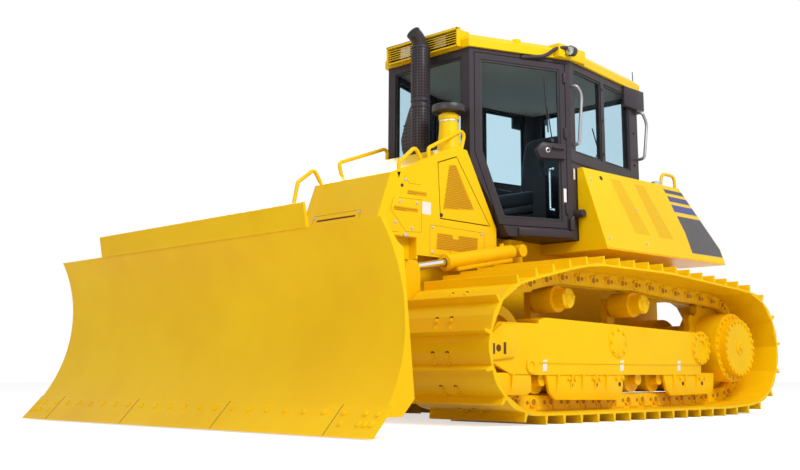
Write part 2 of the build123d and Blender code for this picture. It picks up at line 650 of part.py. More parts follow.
# ---------------------------------------------------------------- cylinders
def cylinder(name, start, end, across, barrel_share, closing, barrel_r, rod_r, eye_r, eye_half):
    """A barrel pinned at start and its rod, whose eye is at end.

    across is the direction of both pins, barrel_share where the barrel's mouth is,
    and closing how far the rod can still go in.
    """
    start, end, across = Vector(*start), Vector(*end), Vector(*across).normalized()
    axis = (end - start).normalized()
    mouth = start + (end - start) * barrel_share
    head = start + axis * (eye_r * 1.8)
    bore = eye_r * 2  # where the bore's bottom is
    with BuildPart() as barrel:
        rod(start, head, eye_half * 0.8)
        rod(head, mouth, barrel_r)
        rod(start - across * eye_half, start + across * eye_half, eye_r)
        rod(start + axis * bore, mouth + axis, rod_r + 0.5, Mode.SUBTRACT)
        rod(start - across * (eye_half + 5), start + across * (eye_half + 5), 22 + RUNNING, Mode.SUBTRACT)
    save(barrel, name.replace("cylinder", "barrel"))
    with BuildPart() as piston:
        rod(start + axis * (bore + closing + 8), end - axis * (eye_r * 0.5), rod_r)
        rod(end - across * eye_half, end + across * eye_half, eye_r)
        rod(end - across * (eye_half + 5), end + across * (eye_half + 5), 22, Mode.SUBTRACT)
    save(piston, name.replace("cylinder", "rod"))


for label, turn in (("left", 1), ("right", -1)):
    cylinder(f"lift_cylinder_{label}", (LIFT_REAR[0], turn * LIFT_Y, LIFT_REAR[1]),
             (LIFT_FRONT[0], turn * LIFT_Y, LIFT_FRONT[1]), (0, 1, 0), 0.7, 250, 58, 28, 50, 26)
    cylinder(f"angle_cylinder_{label}", (ANGLE_REAR[0], turn * ANGLE_REAR[1], ANGLE_Z),
             (ANGLE_FRONT[0], turn * ANGLE_FRONT[1], ANGLE_Z), (0, 0, 1), 0.64, 186, 42, 22, 40, 30)
cylinder("tilt_cylinder", (TILT_X, *TILT_TOWER), (TILT_X, *TILT_BLADE), (1, 0, 0), 0.55, 40, 42, 22, 40, 28)
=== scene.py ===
"""Paint, glass, rubber and small fittings for a wide-track crawler dozer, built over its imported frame."""

import math

import bmesh
import bpy
from mathutils import Matrix, Vector


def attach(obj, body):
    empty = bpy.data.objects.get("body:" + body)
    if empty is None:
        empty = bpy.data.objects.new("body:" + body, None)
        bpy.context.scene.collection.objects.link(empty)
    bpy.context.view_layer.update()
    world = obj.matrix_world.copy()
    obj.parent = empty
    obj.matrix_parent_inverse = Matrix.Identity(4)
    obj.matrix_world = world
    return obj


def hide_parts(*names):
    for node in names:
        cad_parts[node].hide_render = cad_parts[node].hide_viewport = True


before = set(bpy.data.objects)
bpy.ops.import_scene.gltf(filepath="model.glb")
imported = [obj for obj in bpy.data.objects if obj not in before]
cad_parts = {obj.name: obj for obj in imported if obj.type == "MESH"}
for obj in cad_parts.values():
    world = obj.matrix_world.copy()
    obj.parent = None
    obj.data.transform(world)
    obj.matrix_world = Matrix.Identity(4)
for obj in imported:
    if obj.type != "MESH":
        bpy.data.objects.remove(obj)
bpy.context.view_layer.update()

MM = 0.001  # shapes and grains are given in millimetres, and meshes are in metres
ORIGIN, AHEAD, BACK, LEFT, UP = (0, 0, 0), (1, 0, 0), (-1, 0, 0), (0, 1, 0), (0, 0, 1)
SIDES = (("left", 1), ("right", -1))


# ---------------------------------------------------------------- colours and nodes
def linear(hex_colour):
    """An sRGB hex colour as the linear values that shaders take, with full opacity."""
    parts = [int(hex_colour[i:i + 2], 16) / 255 for i in (1, 3, 5)]
    return (*(c / 12.92 if c <= 0.04045 else ((c + 0.055) / 1.055) ** 2.4 for c in parts), 1.0)


def add(tree, kind, sockets=None, **settings):
    """A node of that kind. sockets takes numbers, colours and other nodes' outputs by the input's name."""
    node = tree.nodes.new(kind)
    for name, value in settings.items():
        setattr(node, name, value)
    for name, value in (sockets or {}).items():
        if isinstance(value, bpy.types.NodeSocket):
            tree.links.new(value, node.inputs[name])
        else:
            node.inputs[name].default_value = value
    return node


def maths(tree, operation, *terms, clamp=False):
    """The result of a sum on numbers and other nodes' outputs."""
    node = add(tree, "ShaderNodeMath", dict(enumerate(terms)), operation=operation, use_clamp=clamp)
    return node.outputs[0]


def noise(tree, place, grain_m, **sockets):
    """Noise whose spots are about grain_m wide."""
    return add(tree, "ShaderNodeTexNoise", {"Vector": place, "Scale": 1 / grain_m, **sockets}).outputs["Fac"]


def blend(tree, factor, low, high):
    """A colour between two, by a factor."""
    node = add(tree, "ShaderNodeMix", {"Factor": factor, "A": low, "B": high}, data_type="RGBA")
    return node.outputs["Result"]


def spread(tree, value, low, high):
    """A value from 0 to 1 laid out between two limits."""
    return add(tree, "ShaderNodeMapRange", {"Value": value, "To Min": low, "To Max": high}).outputs["Result"]


def finish_named(name):
    """An empty material with its output, ready for a shader."""
    material = bpy.data.materials.new(name)
    material.use_nodes = True
    material.node_tree.nodes.clear()
    output = add(material.node_tree, "ShaderNodeOutputMaterial")
    return material, material.node_tree, output


# ---------------------------------------------------------------- finishes
CLOUD_M, DUST_GRAIN_M = 0.9, 0.12  # how wide the enamel's clouds and the dust's grains are
CLOUD_LOW, CLOUD_HIGH = 0.36, 0.62  # the noise values between which one tone turns into the other
PEEL_HEIGHT_MM, PEEL_STRENGTH = 0.4, 0.12


def paint(name, lit, shaded, roughness, coat, peel_mm, dust="#D9C9A0", dust_share=0.0):
    """Sprayed enamel: two close tones in soft clouds, fine orange peel, and some dust on what faces up."""
    material, tree, output = finish_named(name)
    place = add(tree, "ShaderNodeTexCoord").outputs["Object"]
    clouds = noise(tree, place, CLOUD_M, Detail=3.0, Roughness=0.55)
    tone = add(tree, "ShaderNodeValToRGB", {"Fac": clouds})
    low, high = tone.color_ramp.elements
    low.position, low.color = CLOUD_LOW, linear(shaded)
    high.position, high.color = CLOUD_HIGH, linear(lit)
    normal = add(tree, "ShaderNodeNewGeometry").outputs["Normal"]
    upward = add(tree, "ShaderNodeSeparateXYZ", {"Vector": normal}).outputs["Z"]
    grain = noise(tree, place, DUST_GRAIN_M, Detail=6.0)
    film = maths(tree, "MULTIPLY", maths(tree, "MULTIPLY", upward, grain), dust_share, clamp=True)
    peel = noise(tree, place, peel_mm * MM, Detail=2.0)
    bump = add(tree, "ShaderNodeBump", {"Height": peel, "Strength": PEEL_STRENGTH,
                                        "Distance": PEEL_HEIGHT_MM * MM})
    shader = add(tree, "ShaderNodeBsdfPrincipled", {
        "Base Color": blend(tree, film, tone.outputs["Color"], linear(dust)),
        "Roughness": spread(tree, grain, roughness - 0.05, roughness + 0.08),
        "IOR": 1.5, "Specular IOR Level": 0.14,
        "Coat Weight": coat, "Coat Roughness": 0.12,
        "Normal": bump.outputs["Normal"]})
    tree.links.new(shader.outputs["BSDF"], output.inputs["Surface"])
    return material


def plain(name, tone, other, roughness, grain_mm, relief_mm=0.0, metallic=0.0, coat=0.0, sheen=0.0,
          stretch=(1, 1, 1)):
    """A through-coloured finish: two tones and an uneven gloss on one grain, with relief of a real height."""
    material, tree, output = finish_named(name)
    place = add(tree, "ShaderNodeTexCoord").outputs["Object"]
    drawn_out = add(tree, "ShaderNodeMapping", {"Vector": place, "Scale": stretch}).outputs[0]
    grain = noise(tree, drawn_out, grain_mm * MM, Detail=4.0)
    bump = add(tree, "ShaderNodeBump", {"Height": grain, "Strength": 0.5, "Distance": relief_mm * MM})
    shader = add(tree, "ShaderNodeBsdfPrincipled", {
        "Base Color": blend(tree, grain, linear(tone), linear(other)), "Metallic": metallic,
        "Roughness": spread(tree, grain, max(roughness - 0.06, 0.02), roughness + 0.08),
        "Coat Weight": coat, "Sheen Weight": sheen,
        "Normal": bump.outputs["Normal"]})
    tree.links.new(shader.outputs["BSDF"], output.inputs["Surface"])
    return material


def clear_pane(name, tint, skin, film_share, grime_mm):
    """Tempered glass: mostly let-through light in the pane's tint, a thin mirror and a faint film of dust."""
    material, tree, output = finish_named(name)
    place = add(tree, "ShaderNodeTexCoord").outputs["Object"]
    grime = noise(tree, place, grime_mm * MM, Detail=4.0)
    film = spread(tree, grime, film_share * 0.8, film_share * 1.2)
    # The mirror grows towards grazing light and is the same on both faces of the pane.
    slant = add(tree, "ShaderNodeLayerWeight", {"Blend": 0.5}).outputs["Facing"]
    mirror = maths(tree, "MULTIPLY_ADD", maths(tree, "POWER", slant, 4.0), 0.6, film, clamp=True)
    through = add(tree, "ShaderNodeBsdfTransparent", {"Color": linear(tint)})
    surface = add(tree, "ShaderNodeBsdfPrincipled", {"Base Color": linear(skin), "IOR": 1.45,
                                                     "Roughness": spread(tree, grime, 0.02, 0.09)})
    mix = add(tree, "ShaderNodeMixShader", {0: mirror, 1: through.outputs[0], 2: surface.outputs[0]})
    tree.links.new(mix.outputs[0], output.inputs["Surface"])
    return material


# Body panels: high-gloss two-pack enamel, warm yellow, with a thin clear shine.
body_enamel = paint("yellow_enamel", "#FFD400", "#FBCC00", 0.32, 0.08, 9)
# Undercarriage and blade: thicker, flatter chassis enamel sprayed over castings and mill plate.
chassis_enamel = paint("yellow_chassis_enamel", "#FFD000", "#F8C400", 0.44, 0.04, 14, dust_share=0.02)
# The pressed creases in the side bodies catch less light, so their enamel is painted a tone deeper: painted
# shade.
crease_shade = paint("yellow_crease_painted_shade", "#F2C200", "#ECBA00", 0.4, 0.08, 9)
# Perforated sheet behind the cowl's openings: the same enamel painted deeper, as painted shade for the dark
# air behind it.
shaded_mesh_enamel = paint("amber_perforated_painted_shade", "#E9B000", "#DFA400", 0.5, 0.05, 6)
# Cab and exhaust: satin brown-black powder coat.
cab_coating = paint("brown_black_powder_coat", "#423B41", "#3B353A", 0.42, 0.1, 6,
                    dust="#8A8070", dust_share=0.05)
# Openings and joints in shade: painted shade in dark brown, black and deep amber, where light hardly reaches.
shadowed_hole = plain("brown_painted_shade", "#6B3A10", "#5A300E", 0.8, 30)
black_hole = plain("black_painted_shade", "#141012", "#1C1618", 0.9, 20)
joint_line = plain("enamel_joint_in_shade", "#B97E00", "#A87200", 0.6, 40)
mesh_shade = plain("perforation_in_shade", "#A06A06", "#8C5C06", 0.8, 20)
# Zinc-plated fasteners and caps: pale, slightly blue metal with a blotchy dull shine.
zinc_plate = plain("zinc_plate", "#D4D5D2", "#BDBFC0", 0.34, 12, 0.05, metallic=0.85)
# Grab bars: brushed stainless tube, greyed by hands.
satin_steel = plain("satin_stainless", "#A9AAB0", "#94959C", 0.3, 8, 0.03, metallic=0.7)
# Cylinder rods: hard chrome, ground and polished, so they mirror the sky.
hard_chrome = plain("hard_chrome", "#EDEFF1", "#DDE1E6", 0.08, 60, metallic=1.0)
# Wiper blades, window seals, plugs and grips: black rubber with a dry bloom.
rubber = plain("black_rubber", "#1B191D", "#252328", 0.62, 7, 0.15)
# Cab trim, consoles, pre-cleaner bowl: dark moulded plastic with a fine spark-eroded grain.
moulded_plastic = plain("dark_moulded_plastic", "#332C30", "#2C262A", 0.38, 3, 0.08)
# Seat cover: dark woven cloth over foam, its thread spacing drawn three times as coarse so that it shows.
seat_cloth = plain("woven_seat_cloth", "#2B2B30", "#3A3A41", 0.85, 4, 0.6, sheen=0.25, stretch=(1, 1, 0.4))
# Headliner: pale grey needle felt.
needle_felt = plain("grey_needle_felt", "#BDB9B4", "#A8A5A1", 0.9, 5, 0.3)
# Floor mat: ribbed black rubber, with the ribs running across the cab.
floor_mat = plain("ribbed_floor_mat", "#222024", "#2C2A2F", 0.6, 12, 1.2, stretch=(3, 0.2, 1))
# Printed plates left blank: white vinyl with a thin gloss laminate.
blank_vinyl = plain("blank_white_vinyl", "#F6F6F4", "#EDEDEA", 0.3, 50, coat=0.4)
# Stripe films on the side bodies: cast vinyl, each one colour, with a little wave where it was squeegeed.
stripe_black = plain("black_stripe_vinyl", "#1E1A2E", "#221E33", 0.28, 90, 0.1, coat=0.4)
stripe_violet = plain("violet_stripe_vinyl", "#2A1A66", "#2E1E6C", 0.28, 90, 0.1, coat=0.4)
stripe_blue = plain("blue_stripe_vinyl", "#22267F", "#272B86", 0.28, 90, 0.1, coat=0.4)
panel_black = plain("brown_black_panel_vinyl", "#3A3236", "#362F33", 0.32, 90, 0.1, coat=0.3)
border_cream = plain("cream_border_vinyl", "#EBC44A", "#E6BD40", 0.3, 90, coat=0.3)
# Engine and drawbar pins: sand-cast iron under thin grey primer.
cast_iron = plain("grey_cast_iron", "#4A4A4C", "#3E3E40", 0.6, 4, 0.5, metallic=0.5)
# Vacuum-coated bowl behind each lamp glass.
lamp_reflector = plain("lamp_reflector", "#F2F2F2", "#E4E6E8", 0.15, 25, metallic=0.9)
# Switched-off display behind a hard-coated sheet.
screen_glass = plain("dark_screen_glass", "#101418", "#141A20", 0.08, 60, coat=0.6)
# Cab windows: thick tempered glass with a blue tint. Lamp lenses: thin, clear, a little dusty.
cab_glazing = clear_pane("blue_tinted_tempered_glass", "#EEF8FC", "#2A3438", 0.02, 300)
lamp_lens = clear_pane("clear_lamp_lens", "#F8FAFB", "#F0F4F6", 0.12, 40)

# The slot of the record that goes with each finish; a piece may name another.
FINISHES_OF_SLOT = {
    "yellow_paint": (body_enamel, chassis_enamel, crease_shade, shaded_mesh_enamel, joint_line, mesh_shade),
    "black_paint": (cab_coating, shadowed_hole, black_hole, rubber, moulded_plastic, floor_mat, stripe_black,
                    stripe_violet, stripe_blue, panel_black, border_cream),
    "chrome_rod": (zinc_plate, satin_steel, hard_chrome),
    "seat_fabric": (seat_cloth, needle_felt),
    "engine_iron": (cast_iron,),
    "lamp_plastic": (blank_vinyl, lamp_reflector, screen_glass, lamp_lens),
}
SLOT_OF_FINISH = {finish.name: slot for slot, finishes in FINISHES_OF_SLOT.items() for finish in finishes}

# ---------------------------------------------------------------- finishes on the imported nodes
COATED_NODES = {
    body_enamel: ("engine_cowl", "hood_nose", "engine_door_left", "engine_door_right", "side_bodies",
                  "rear_housing", "cab_roof", "handrails", "rear_grille_door"),
    chassis_enamel: ("main_frame", "track_frames", "track_left", "track_right", "idlers", "sprockets",
                     "final_drives", "track_rollers", "carrier_rollers", "suspension_bars", "drawbar",
                     "c_frame", "blade_swivel", "blade", "cutting_edge", "angle_barrel_left",
                     "angle_barrel_right", "lift_barrel_left", "lift_barrel_right", "tilt_barrel"),
    cab_coating: ("cab_shell", "cab_door_left", "cab_door_right"),
    moulded_plastic: ("console",),
    cab_glazing: ("cab_glass", "door_glass_left", "door_glass_right"),
    hard_chrome: ("lift_rod_left", "lift_rod_right", "angle_rod_left", "angle_rod_right", "tilt_rod"),
    cast_iron: ("engine_block",),
}
for finish, nodes in COATED_NODES.items():
    for node in nodes:
        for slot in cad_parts[node].material_slots:
            slot.material = finish


# ---------------------------------------------------------------- shapes, in millimetres
def box(x0, x1, y0, y1, z0, z1):
    """A block between two limits along each axis."""
    corners = [(x, y, z) for z in (z0, z1) for y in (y0, y1) for x in (x0, x1)]
    return corners, [(0, 2, 3, 1), (4, 5, 7, 6), (0, 1, 5, 4), (2, 6, 7, 3), (0, 4, 6, 2), (1, 3, 7, 5)]


def prism(loop, carry):
    """A flat outline of (x, y, z) points carried along a vector."""
    count = len(loop)
    carry = Vector(carry)
    points = [Vector(p) for p in loop] + [Vector(p) + carry for p in loop]
    walls = [(n, (n + 1) % count, (n + 1) % count + count, n + count) for n in range(count)]
    return points, walls + [tuple(reversed(range(count))), tuple(range(count, 2 * count))]


def side_plate(outline, y, thickness):
    """A plate on the machine's left, from an (x, z) outline and the y of its inner face."""
    return prism([(x, y, z) for x, z in outline], (0, thickness, 0))


def axes_across(axis):
    """The axis as a unit vector, with two more at right angles to it."""
    axis = Vector(axis).normalized()
    across = axis.orthogonal().normalized()
    return axis, across, axis.cross(across)


def round_shell(rings, sides):
    """Faces that join rings of points, closed at both ends."""
    faces = []
    for ring in range(rings - 1):
        for n in range(sides):
            a, b = ring * sides + n, ring * sides + (n + 1) % sides
            faces.append((a, b, b + sides, a + sides))
    return faces + [tuple(reversed(range(sides))), tuple(range((rings - 1) * sides, rings * sides))]


def turned(profile, start, axis, sides=32):
    """A turned shape from (distance along the axis, radius) points, closed at both ends."""
    axis, across, other = axes_across(axis)
    points = []
    for along, radius in profile:
        for n in range(sides):
            angle = 2 * math.pi * n / sides
            spoke = across * math.cos(angle) + other * math.sin(angle)
            points.append(Vector(start) + axis * along + spoke * radius)
    return points, round_shell(len(profile), sides)


def disc(radius, height, start=ORIGIN, axis=UP, sides=32):
    """A plain round boss."""
    return turned([(0, radius), (height, radius)], start, axis, sides)


def rounded_path(corners, bend, steps):
    """The corners as one path, each rounded over the given bend."""
    path = [corners[0]]
    for before, corner, after in zip(corners, corners[1:], corners[2:]):
        back, ahead = (before - corner).normalized() * bend, (after - corner).normalized() * bend
        for n in range(steps + 1):
            t = n / steps
            path.append(corner + back * (1 - t) ** 2 + ahead * t ** 2)
    return path + [corners[-1]]


def pipe(corners, radius, bend, sides=14, steps=6):
    """A round bar through the corners, each rounded with the given bend."""
    path = rounded_path([Vector(c) for c in corners], bend, steps)
    run = (path[1] - path[0]).normalized()
    across = run.orthogonal().normalized()
    points = []
    for n, place in enumerate(path):
        ahead = path[min(n + 1, len(path) - 1)] - path[max(n - 1, 0)]
        turn = run.rotation_difference(ahead)
        run, across = ahead.normalized(), (turn @ across).normalized()
        other = run.cross(across)
        for k in range(sides):
            angle = 2 * math.pi * k / sides
            points.append(place + (across * math.cos(angle) + other * math.sin(angle)) * radius)
    return points, round_shell(len(path), sides)


def pillow(centre, half, squareness):
    """A full cushion: a rounded block that swells between its seams."""
    across, up = 36, 18

    def swell(value):
        """The sine or cosine drawn out towards a square corner."""
        return math.copysign(abs(value) ** squareness, value)
    points = []
    for row in range(up + 1):
        lift = math.pi * (row / up - 0.5)
        flat = swell(math.cos(lift))
        for n in range(across):
            turn = 2 * math.pi * n / across
            bulge = Vector((half[0] * flat * swell(math.cos(turn)), half[1] * flat * swell(math.sin(turn)),
                            half[2] * swell(math.sin(lift)) * 0.98))
            points.append(Vector(centre) + bulge)
    # The end rings have shrunk to a point, so they need no end faces.
    return points, round_shell(up + 1, across)[:-2]


def tipped(shape, about, degrees_back):
    """The shape leaned back about a line across the machine."""
    turn = Matrix.Rotation(math.radians(-degrees_back), 3, "Y")
    return [Vector(about) + turn @ (Vector(p) - Vector(about)) for p in shape[0]], shape[1]


def moved(shape, shift):
    """The same shape somewhere else."""
    return [Vector(p) + Vector(shift) for p in shape[0]], shape[1]


def mirrored(shape):
    """The same shape on the machine's other side."""
    return [(p[0], -p[1], p[2]) for p in shape[0]], [tuple(reversed(face)) for face in shape[1]]


def both(*shapes):
    """The shapes of the left side and their mirror images."""
    return [*shapes, *(mirrored(shape) for shape in shapes)]


SHARP_FROM_DEG, BEVEL_FROM_RAD = 38, 0.6
WELD_M = 0.00002


def linked(name, data):
    """A new object in the scene."""
    made = bpy.data.objects.new(name, data)
    bpy.context.collection.objects.link(made)
    return made


def closed_mesh(name, finish, shapes, bevel=0.0):
    """An object with one mesh of several shapes, their sharp edges broken by the bevel."""
    cage = bmesh.new()
    for points, faces in shapes:
        corners = [cage.verts.new(Vector(p) * MM) for p in points]
        for face in faces:
            cage.faces.new([corners[n] for n in face])
    bmesh.ops.remove_doubles(cage, verts=cage.verts, dist=WELD_M)
    if bevel:
        sharp = [edge for edge in cage.edges
                 if len(edge.link_faces) == 2 and edge.calc_face_angle(0) > BEVEL_FROM_RAD]
        bmesh.ops.bevel(cage, geom=sharp, offset=bevel * MM, segments=2, profile=0.5, affect="EDGES",
                        clamp_overlap=True)
    bmesh.ops.recalc_face_normals(cage, faces=cage.faces)
    mesh = bpy.data.meshes.new(name)
    cage.to_mesh(mesh)
    cage.free()
    mesh.shade_smooth()
    mesh.set_sharp_from_angle(angle=math.radians(SHARP_FROM_DEG))
    mesh.materials.append(finish)
    return linked(name, mesh)


def piece(name, finish, shapes, bevel=0.0, body="chassis", slot=None, stands_for=None):
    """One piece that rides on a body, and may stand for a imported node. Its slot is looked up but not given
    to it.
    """
    made = closed_mesh(name, finish, shapes, bevel)
    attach(made, body)
    slot or SLOT_OF_FINISH[finish.name]
    if stands_for:
        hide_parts(stands_for)
    return made


# ---------------------------------------------------------------- what repeats
def repeat_tree():
    """Sets a pattern piece on every site, turned as the site says, then makes it one mesh."""
    tree = bpy.data.node_groups.new("set_on_sites", "GeometryNodeTree")
    inputs = {"Sites": "Geometry", "Pattern": "Object", "Size": "Float", "Finish": "Material"}
    for label, kind in inputs.items():
        tree.interface.new_socket(name=label, in_out="INPUT", socket_type="NodeSocket" + kind)
    tree.interface.new_socket(name="Geometry", in_out="OUTPUT", socket_type="NodeSocketGeometry")
    given = add(tree, "NodeGroupInput").outputs
    turn = add(tree, "GeometryNodeInputNamedAttribute", {"Name": "turn"}, data_type="FLOAT_VECTOR")
    pattern = add(tree, "GeometryNodeObjectInfo", {"Object": given["Pattern"]})
    spin = add(tree, "FunctionNodeEulerToRotation", {"Euler": turn.outputs["Attribute"]})
    points = add(tree, "GeometryNodeMeshToPoints", {"Mesh": given["Sites"]})
    placed = add(tree, "GeometryNodeInstanceOnPoints", {
        "Points": points.outputs["Points"], "Instance": pattern.outputs["Geometry"],
        "Rotation": spin.outputs["Rotation"], "Scale": given["Size"]})
    real = add(tree, "GeometryNodeRealizeInstances", {"Geometry": placed.outputs["Instances"]})
    coated = add(tree, "GeometryNodeSetMaterial", {
        "Geometry": real.outputs["Geometry"], "Material": given["Finish"]})
    add(tree, "NodeGroupOutput", {"Geometry": coated.outputs["Geometry"]})
    return tree


SET_ON_SITES = repeat_tree()


def site(place, out, along=UP):
    """Where a pattern stands: its z axis points out, and its x axis as near along as it can."""
    out = Vector(out).normalized()
    along = Vector(along) - out * Vector(along).dot(out)
    if along.length < 1e-6:
        along = out.orthogonal()
    along.normalize()
    return Vector(place) * MM, Matrix((along, out.cross(along), out)).transposed().to_euler()


FULL_SIZE = 1.0  # the patterns are drawn at the real sizes


def set_out(name, finish, pattern, sites, body="chassis"):
    """The pattern's shapes on every site, as one plain mesh on a body."""
    sites = list(sites)
    stamp = closed_mesh(name + "_pattern", finish, pattern)
    mesh = bpy.data.meshes.new(name)
    mesh.from_pydata([place for place, _ in sites], [], [])
    turns = [angle for _, euler in sites for angle in euler[:]]
    mesh.attributes.new("turn", "FLOAT_VECTOR", "POINT").data.foreach_set("vector", turns)
    host = linked(name + "_sites", mesh)
    modifier = host.modifiers.new("set_out", "NODES")
    modifier.node_group = SET_ON_SITES
    given = {item.name: item.identifier for item in SET_ON_SITES.interface.items_tree
             if item.in_out == "INPUT"}
    modifier[given["Pattern"]] = stamp
    modifier[given["Size"]] = FULL_SIZE
    modifier[given["Finish"]] = finish
    result = bpy.data.meshes.new_from_object(host.evaluated_get(bpy.context.evaluated_depsgraph_get()))
    host.modifiers.clear()
    for spent in (host, stamp):
        bpy.data.objects.remove(spent)
    result.name = name
    if "turn" in result.attributes:
        result.attributes.remove(result.attributes["turn"])
    made = linked(name, result)
    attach(made, body)


def hexagon_bolt(across_flats, height):
    """A hexagon bolt head on its washer, standing on z = 0."""
    corner = across_flats * 0.577
    head = turned([(0, corner), (height * 0.9, corner), (height, across_flats * 0.5)], ORIGIN, UP, sides=6)
    washer = disc(across_flats * 0.8, height * 0.22, sides=16)
    return [head, washer]


def ring_sites(centre, axis, radius, count, phase):
    """Sites evenly round a circle, facing along the axis."""
    axis, across, other = axes_across(axis)
    for n in range(count):
        angle = 2 * math.pi * (n + phase) / count
        spoke = across * math.cos(angle) + other * math.sin(angle)
        yield site(Vector(centre) + spoke * radius, axis, spoke)


def rings_both(*rings):
    """Rings of sites, each (centre, radius, count, phase), facing outwards on the right and on the left."""
    for turn in (-1, 1):
        for (x, y, z), *ring in rings:
            yield from ring_sites((x, turn * y, z), (0, turn, 0), *ring)


def mirrored_sites(places, out):
    """Sites at the given places and at their mirror images."""
    for place in places:
        yield site(place, out)
        yield site((place[0], -place[1], place[2]), (out[0], -out[1], out[2]))


def inside(point, outline):
    """Whether a flat point lies within an outline."""
    x, z = point
    crossings = 0
    for (x0, z0), (x1, z1) in zip(outline, outline[1:] + outline[:1]):
        if (z0 > z) != (z1 > z) and x < x0 + (z - z0) / (z1 - z0) * (x1 - x0):
            crossings += 1
    return crossings % 2 == 1


# ---------------------------------------------------------------- the chain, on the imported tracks' path
LINK_PITCH = 190
GAUGE_HALF, RAIL_FACE = 1070, 88  # the track's middle line, and the rails' outer faces from it
SHOE_FACE = 81  # the shoe plate's outer face from the pins' path
SPROCKET, IDLER = (-2015, 555), (905, 505)
CARRIERS = ((195, 870), (-775, 870))
ROLLERS = [-1590 + 296 * n for n in range(8)]
ROLLER_Z, ROLLER_R, CARRIER_R, IDLER_R, SPROCKET_R = 293, 155, 160, 362, 397  # to the pins' path
BELT_WHEELS = ((ROLLERS[0], ROLLER_Z, ROLLER_R), (ROLLERS[-1], ROLLER_Z, ROLLER_R), (*IDLER, IDLER_R),
               (*CARRIERS[0], CARRIER_R), (*CARRIERS[1], CARRIER_R), (*SPROCKET, SPROCKET_R))


def belt_runs(wheels):
    """The belt's arcs and straights in turn, as (is an arc, x, z, radius, heading, length)."""
    legs = []
    for (x0, z0, r0), (x1, z1, r1) in zip(wheels, wheels[1:] + wheels[:1]):
        length = math.sqrt((x1 - x0) ** 2 + (z1 - z0) ** 2 - (r1 - r0) ** 2)
        heading = math.atan2(z1 - z0, x1 - x0) - math.pi / 2 + math.atan2(r0 - r1, length)
        legs.append((heading, length))
    runs = []
    for n, (x, z, radius) in enumerate(wheels):
        before, (heading, length) = legs[n - 1][0], legs[n]
        runs.append((True, x, z, radius, before, (heading - before) % (2 * math.pi) * radius))
        runs.append((False, x, z, radius, heading, length))
    return runs


def chain_pins(wheels, pitch):
    """Pins evenly along a belt round the wheels, as (x, z)."""
    runs = belt_runs(wheels)
    total = sum(run[-1] for run in runs)
    step = total / round(total / pitch)
    pins, along = [], 0.0
    for curved, x, z, radius, heading, extent in runs:
        link = math.ceil(along / step - 1e-9)
        while link * step < along + extent - 1e-6:
            past = link * step - along
            angle = heading + past / radius if curved else heading
            straight = 0.0 if curved else past
            pins.append((x + radius * math.cos(angle) - straight * math.sin(angle),
                         z + radius * math.sin(angle) + straight * math.cos(angle)))
            link += 1
        along += extent
    return pins


PINS = chain_pins(BELT_WHEELS, LINK_PITCH)
LINKS = [(Vector((x0, 0, z0)), Vector((x1 - x0, 0, z1 - z0)))
         for (x0, z0), (x1, z1) in zip(PINS, PINS[1:] + PINS[:1])]

# One side plate of a link: x runs along the link, y towards the shoe, z out from the rail's face.
STRAP = ((-34, -8), (-22, -34), (20, -42), (150, -42), (176, -22), (150, 20), (150, 52), (36, 52), (36, 26),
         (-24, 26))
BUSHING = (LINK_PITCH - 62, 4, 0)
LINK_STRAP = [prism([(x, y, -2) for x, y in STRAP], (0, 0, 11)),
              turned([(-2, 36), (15, 36), (18, 32)], ORIGIN, UP, sides=20),
              turned([(-2, 22), (12, 22)], BUSHING, UP, sides=12)]
# Thin darker rings on each strap, round its pin and a boss: painted shade.
PIN_SHADE_RING = [turned([(17, 22), (19.5, 22)], ORIGIN, UP, sides=16),
            turned([(8, 15), (10.5, 15)], (60, 4, 0), UP, sides=10)]
RAIL_HALF = 66  # each rail's bolts and mud holes from the shoe's middle
SHOE_BOLTS = [moved(shape, (x, y, 0)) for x in (-28, 24) for y in (-RAIL_HALF, RAIL_HALF)
              for shape in hexagon_bolt(24, 13)]
HALF_TURN = [math.pi * n / 10 for n in range(11)]
# Mud holes as dark patches of painted shade, not openings.
MUD_SLOTS = [prism([(15 * math.sin(a) - 4, y + 18 * math.cos(a), 0) for a in HALF_TURN], (0, 0, 1.2))
             for y in (-RAIL_HALF, RAIL_HALF)]


def dress_chain(label, middle):
    """Link straps, painted shade rings round the pins, shoe bolts and mud holes of painted shade round one
    track.
    """
    left = Vector(LEFT)
    straps, bolts, slots = [], [], []
    for pin, run in LINKS:
        ahead = run.normalized()
        outwards = left.cross(ahead)
        for face in (-1, 1):
            foot = pin if face > 0 else pin + run
            straps.append(site(foot + left * (middle + face * RAIL_FACE), left * face, ahead * face))
        for sites, share in ((bolts, 0.70), (slots, 0.93)):
            sites.append(site(pin + run * share + outwards * SHOE_FACE + left * middle, outwards, ahead))
    set_out(f"link_straps_{label}", chassis_enamel, LINK_STRAP, straps)
    set_out(f"pin_rings_{label}", joint_line, PIN_SHADE_RING, straps)
    set_out(f"shoe_bolts_{label}", chassis_enamel, SHOE_BOLTS, bolts)
    set_out(f"mud_slots_{label}", shadowed_hole, MUD_SLOTS, slots)


for label, turn in SIDES:
    dress_chain(label, turn * GAUGE_HALF)

# ---------------------------------------------------------------- wheels, frames and guards
# y of the final drives' cover and flange, and of the carrier rollers' ends.
HUB_FACE, DRIVE_FACE, CARRIER_FACE = 1390, 1330, 1260
GUARD_BACK, GUARD_THICK = 1238, 24
GUARD_FACE, FRAME_FACE = GUARD_BACK + GUARD_THICK, 1268  # y of the roller guards' and track frames' sides
EQUALISER, REAR_FLANGE = (-391, 569), (-1580, 545)  # x, z of the two round flanges on each track frame


def on_side(point, y):
    """An (x, z) point at that distance from the machine's middle."""
    return point[0], y, point[1]


